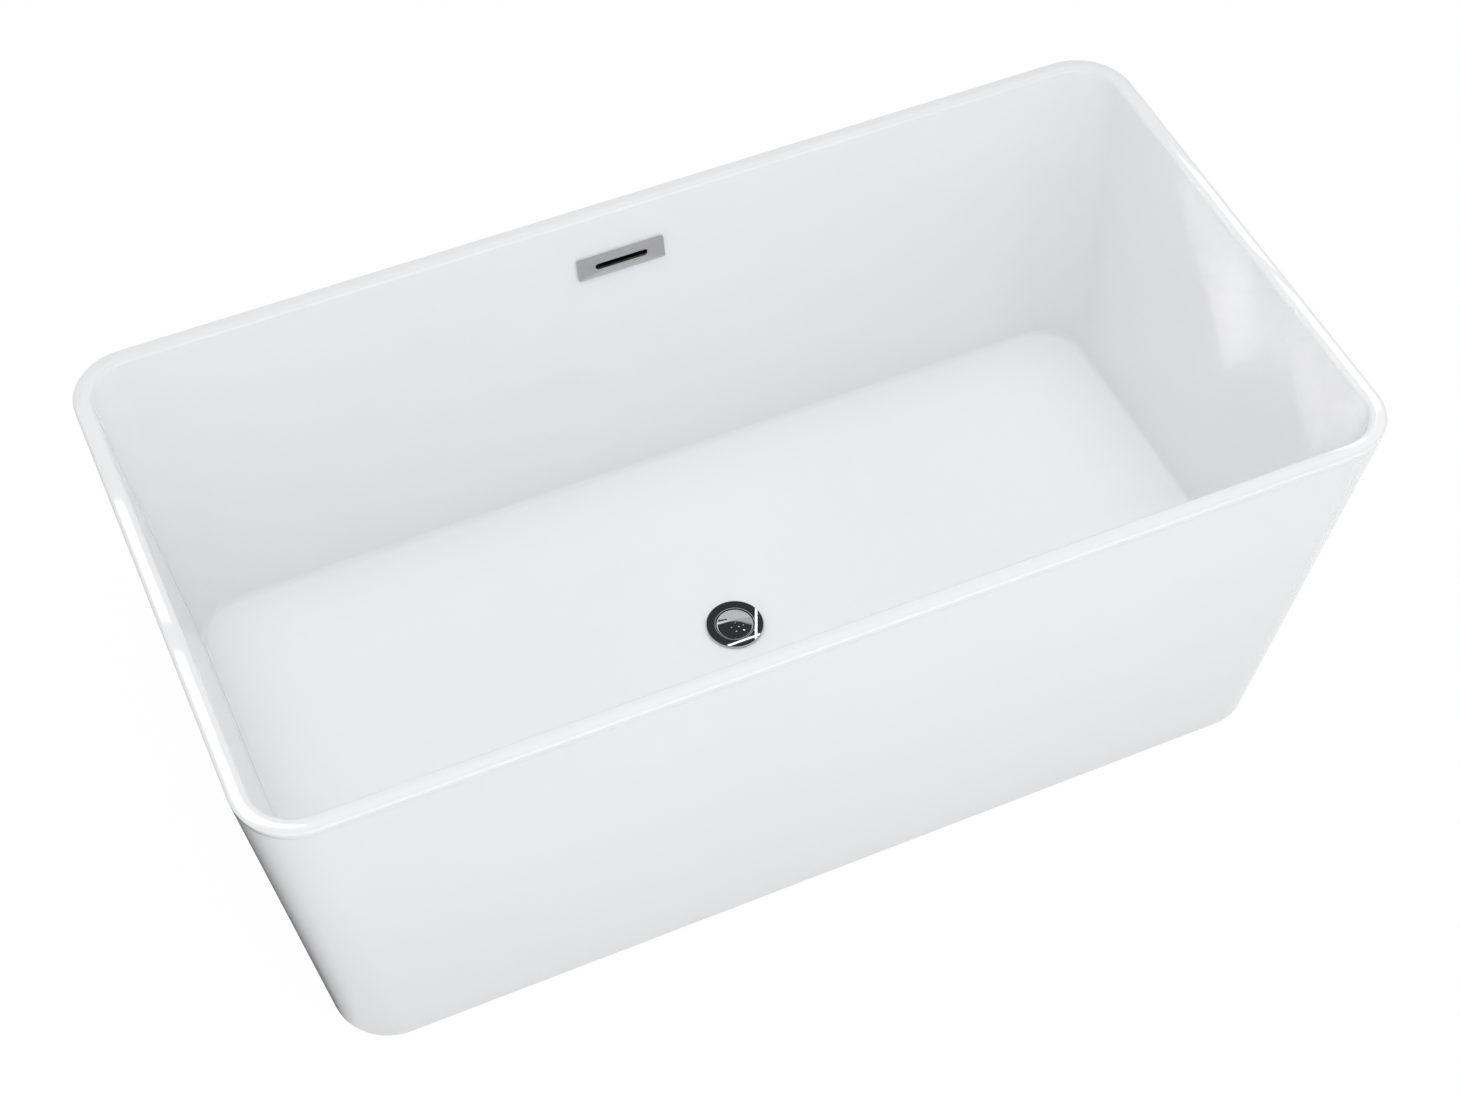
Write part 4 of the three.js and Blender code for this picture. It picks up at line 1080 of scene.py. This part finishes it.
def makeStage():
    board = NodeBoard("paleFloor")
    tone = stageLook["tone"]
    board.shader.inputs["Base Color"].default_value = (tone, tone, tone, 1)
    board.shader.inputs["Roughness"].default_value = stageLook["rough"]
    board.shader.inputs["Specular IOR Level"].default_value = 0.0
    glow = board.node("ShaderNodeEmission", Strength=stageLook["glow"])
    rays = board.node("ShaderNodeLightPath")
    seen = board.node("ShaderNodeMath", operation="MAXIMUM")
    board.join(rays.outputs["Is Camera Ray"], seen.inputs[0])
    board.join(rays.outputs["Is Glossy Ray"], seen.inputs[1])
    weight = board.node("ShaderNodeMath", operation="MULTIPLY")
    weight.inputs[1].default_value = stageLook["weight"]
    board.join(seen.outputs["Value"], weight.inputs[0])
    mix = board.node("ShaderNodeMixShader")
    output = board.tree.nodes["Material Output"]
    board.join(weight.outputs["Value"], mix.inputs["Fac"])
    board.join(board.shader.outputs["BSDF"], mix.inputs[1])
    board.join(glow.outputs["Emission"], mix.inputs[2])
    # clear from below, so that the underside can be looked at
    below = board.node("ShaderNodeNewGeometry")
    clear = board.node("ShaderNodeBsdfTransparent")
    sides = board.node("ShaderNodeMixShader")
    board.join(below.outputs["Backfacing"], sides.inputs["Fac"])
    board.join(mix.outputs["Shader"], sides.inputs[1])
    board.join(clear.outputs["BSDF"], sides.inputs[2])
    board.join(sides.outputs["Shader"], output.inputs["Surface"])
    floor = linkNew("paleFloor", bpy.data.meshes.new("paleFloor"))
    reach, low = stageLook["reach"], stageLook["level"]
    corners = [(-reach, -reach, low), (reach, -reach, low), (reach, reach, low), (-reach, reach, low)]
    floor.data.from_pydata(corners, [], [(0, 1, 2, 3)])
    floor.data.materials.append(board.material)


def softBox(name, centre, aim, size, radiance, receivers=(), mirrored=True, diffused=True, spread=180.0):
    # rectangular lamp that no camera sees; receivers are the only pieces it lights
    data = bpy.data.lights.new(name, "AREA")
    data.shape = "RECTANGLE"
    data.size, data.size_y = size
    data.energy = radiance * math.pi * size[0] * size[1]
    data.spread = math.radians(spread)
    lamp = linkNew(name, data)
    lamp.location = centre
    direction = Vector(aim) - Vector(centre)
    lamp.rotation_mode = "QUATERNION"
    lamp.rotation_quaternion = direction.to_track_quat("-Z", "Y")
    lamp.visible_camera = False
    lamp.visible_glossy = mirrored
    lamp.visible_diffuse = diffused
    if receivers:
        group = bpy.data.collections.new(name + "Receivers")
        for piece in receivers:
            group.objects.link(bpy.data.objects[piece])
        lamp.light_linking.receiver_collection = group
    return lamp


glossReceivers = ("basinSurface", "skirtSurface")
chromeReceivers = ("drainRing", "stopperDisc")
softBoxes = {
    # centre, point it faces, width and depth, radiance, whether it shows in mirrors
    "frontBox": ((0.3, -3.4, 2.4), (0, 0, 0.3), (3.2, 1.6), 1.0, True),
    "frontLow": ((0.3, -3.2, 1.15), (0, 0, 0.5), (3.4, 0.7), 1.05, True),
    "lowBox": ((0.1, -2.4, 0.50), (0, -0.35, 0.34), (3.4, 0.3), 1.25, False),
    "topBox": ((-0.2, -0.9, 3.6), (0, 0, 0.2), (2.6, 1.6), 2.1, False),
    "leftBox": ((-3.4, 0.2, 1.9), (0, 0, 0.3), (2.2, 1.6), 0.65, False),
    "rightBox": ((3.4, 0.2, 1.9), (0, 0, 0.3), (2.2, 1.6), 0.5, False),
    "backBox": ((0.3, 3.8, 1.5), (0, 0, 0.3), (3.6, 1.2), 0.4, True),
}
ceilingPanels = {
    # centre, width and depth, radiance: lamps in the ceiling that the white sheet mirrors
    "skyFront": ((0.9, 1.09, 3.01), (3.6, 0.38), 1.6),
    "skyMiddle": ((0.9, 1.95, 3.01), (3.6, 1.34), 0.75),
    "paneLeftFront": ((-0.605, 1.459, 3.0), (0.29, 0.618), 6.0),
    "paneLeftBack": ((-0.605, 2.0575, 3.0), (0.29, 0.385), 6.0),
    "paneRightFront": ((2.35, 1.529, 3.0), (0.30, 0.478), 6.0),
    "paneRightBack": ((2.35, 2.0575, 3.0), (0.30, 0.385), 6.0),
}
ceilingStrips = {
    # centre, length, width, direction in the ceiling's plane, radiance: thin lamps that the drain mirrors
    "stripLong": ((0.871, 1.8738, 3.0), 0.26, 0.0055, 0.0, 2.6),
    "stripCross": ((0.925, 1.906, 3.0), 0.19, 0.0060, 65.6, 2.6),
    "stripWall": ((0.6, 2.45, 2.9), 5.0, 0.05, 4.0, 1.6),
}
ceilingSpots = {
    "height": 3.0, "size": 0.07, "radiance": 2.4,
    "places": ((0.35, 1.42), (0.95, 1.30), (1.42, 1.45), (0.55, 0.92), (1.15, 0.95), (1.62, 0.85), (0.85, 0.55),
               (0.25, 0.40), (1.35, 0.35)),
}
sunBeams = {
    # where the beam's middle meets the right end wall, its size across and along the slope, radiance
    "beamMiddle": ((0.713, 0.025, 0.575), (0.126, 0.34), 0.15),
    "beamFront": ((0.713, -0.240, 0.575), (0.145, 0.34), 0.15),
}
narrowBeams = {
    # centre, point it faces, width and depth, radiance, spread: straight down into the bowl, and on the front edge
    "bowlBeam": ((0, 0.02, 1.35), (0, 0.02, 0), (1.34, 0.6), 0.14, 16),
    "edgeBeam": ((0, -1.4, 0.56), (0, -0.39, 0.52), (2.8, 0.08), 0.36, 50),
}
beamAim = {"direction": (0.966, -0.20, -0.16), "slope": (0, -0.78, -0.62), "distance": 1.75, "spread": 1.0}


def makeBeams():
    # nearly parallel light that comes in low over the left rim and lies in slanting bars on the right end wall
    way = Vector(beamAim["direction"]).normalized()
    along = Vector(beamAim["slope"])
    along = (along - way * along.dot(way)).normalized()
    across = along.cross(-way)
    for name, (target, size, radiance) in sunBeams.items():
        centre = Vector(target) - way * beamAim["distance"]
        lamp = softBox(name, centre, target, size, radiance, mirrored=False, spread=beamAim["spread"])
        lamp.rotation_quaternion = Matrix((across, along, -way)).transposed().to_quaternion()
    for name, (centre, aim, size, radiance, spread) in narrowBeams.items():
        softBox(name, centre, aim, size, radiance, mirrored=False, spread=spread)


def makeSoftBoxes():
    for name, (centre, aim, size, radiance, mirrored) in softBoxes.items():
        softBox(name, centre, aim, size, radiance, mirrored=mirrored)
    for name, (centre, size, radiance) in ceilingPanels.items():
        softBox(name, centre, (centre[0], centre[1], 0), size, radiance, glossReceivers, diffused=False)
    for name, (centre, length, width, turn, radiance) in ceilingStrips.items():
        strip = softBox(name, centre, (centre[0], centre[1], 0), (length, width), radiance, chromeReceivers)
        strip.rotation_quaternion = Matrix.Rotation(math.radians(turn), 4, "Z").to_quaternion()
    height, radiance = ceilingSpots["height"], ceilingSpots["radiance"]
    for k, (x, y) in enumerate(ceilingSpots["places"]):
        size = ceilingSpots["size"] * (1 + 0.5 * (k % 3 == 1))  # every third one is larger
        softBox(f"spot{k}", (x, y, height), (x, y, 0), (size, size * 0.6), radiance, chromeReceivers)


roomLight = {
    "turnover": 49.0, "tone": (0.98, 0.99, 1.0),
    "diffuse": (0.66, 0.50), "mirrored": (0.60, 0.05),
}


def makeWorld():
    # a lit room with a darker ceiling: one level up to the turnover angle, another above it; mirrors see it dimmer
    world = bpy.data.worlds.new("softRoom")
    world.use_nodes = True
    tree = world.node_tree
    coords = tree.nodes.new("ShaderNodeTexCoord")
    split = tree.nodes.new("ShaderNodeSeparateXYZ")
    tree.links.new(coords.outputs["Generated"], split.inputs["Vector"])
    turnover = math.sin(math.radians(roomLight["turnover"]))
    shaders = []
    for key in ("diffuse", "mirrored"):
        ramp = tree.nodes.new("ShaderNodeValToRGB")
        stops = ramp.color_ramp.elements
        for stop, place, level in zip(stops, (turnover - 0.02, turnover + 0.02), roomLight[key]):
            stop.position = place
            stop.color = (*[level * c for c in roomLight["tone"]], 1)
        background = tree.nodes.new("ShaderNodeBackground")
        tree.links.new(split.outputs["Z"], ramp.inputs["Fac"])
        tree.links.new(ramp.outputs["Color"], background.inputs["Color"])
        shaders.append(background.outputs["Background"])
    rays = tree.nodes.new("ShaderNodeLightPath")
    mix = tree.nodes.new("ShaderNodeMixShader")
    tree.links.new(rays.outputs["Is Glossy Ray"], mix.inputs["Fac"])
    tree.links.new(shaders[0], mix.inputs[1])
    tree.links.new(shaders[1], mix.inputs[2])
    tree.links.new(mix.outputs["Shader"], tree.nodes["World Output"].inputs["Surface"])
    tree.nodes.remove(tree.nodes["Background"])
    bpy.context.scene.world = world


# glowing cards on the floor beside and behind the tub, seen only in its gloss, that paint reflections into it: white
# in front, darkening round the corner as a painted reflection of shade on the floor beside the tub, and white again
# far from the tub's back left corner
paintedReflectionCards = {
    "leftFlag": ((-2.6, -1.9), (-0.56, -1.9), (-0.56, 1.9), (-2.6, 1.9)),
    "backFlag": ((-0.56, 0.335), (1.1, 0.335), (1.1, 1.9), (-0.56, 1.9)),
}
paintedReflectionLook = {
    "pivot": (-0.64, -0.295), "light": 60.0, "dark": 128.0,  # where the darkening turns, and its angles in degrees
    "heart": (-0.7, 0.35), "reach": 1.7,  # the middle of the dark and how far it reaches
    "height": 0.002,
}


def makePaintedReflections():
    look = paintedReflectionLook
    board = NodeBoard("paintedReflectionCard")
    x, y = look["pivot"]
    coords = board.node("ShaderNodeTexCoord")
    shifted = board.node("ShaderNodeMapping", Location=(-x, -y, 0))
    turned = board.node("ShaderNodeMapping", Rotation=(0, 0, math.radians(90)))
    board.join(coords.outputs["Object"], shifted.inputs["Vector"])
    board.join(shifted.outputs["Vector"], turned.inputs["Vector"])
    # the radial gradient is 0.5 straight in front of the pivot and falls as the direction goes round to the left
    radial = board.node("ShaderNodeTexGradient", gradient_type="RADIAL")
    board.join(turned.outputs["Vector"], radial.inputs["Vector"])
    # painted shade: the near-black stop puts the shaded floor beside the tub's left side into its gloss
    stops = [(0.5 - look["dark"] / 360, (0.02, 0.02, 0.022)), (0.5 - look["light"] / 360, (1.0, 1.0, 1.0))]
    tone = board.ramp(radial.outputs["Fac"], *stops)
    # the spherical gradient is 1 at the heart and 0 at the reach
    x, y = look["heart"]
    near = 1 / look["reach"]
    around = board.node("ShaderNodeTexGradient", gradient_type="SPHERICAL")
    centred = board.objectCoords(scale=(near, near, near), offset=(-x * near, -y * near, 0))
    board.join(centred, around.inputs["Vector"])
    fade = board.ramp(around.outputs["Fac"], (0.0, (0, 0, 0)), (0.5, (1, 1, 1)))
    # the cards glow with this painted colour; no lamp lights them
    glow = board.node("ShaderNodeEmission", Strength=1.0)
    board.join(board.blend(fade, (1, 1, 1, 1), tone), glow.inputs["Color"])
    board.join(glow.outputs["Emission"], board.tree.nodes["Material Output"].inputs["Surface"])
    for name, corners in paintedReflectionCards.items():
        mesh = bpy.data.meshes.new(name)
        mesh.from_pydata([(cx, cy, look["height"]) for cx, cy in corners], [], [(0, 1, 2, 3)])
        mesh.materials.append(board.material)
        paintedCard = linkNew(name, mesh)
        for kind in ("camera", "diffuse", "shadow", "transmission"):
            setattr(paintedCard, "visible_" + kind, False)


makeStage()
makePaintedReflections()
makeWorld()
makeSoftBoxes()
makeBeams()
print("stage and lamps set")
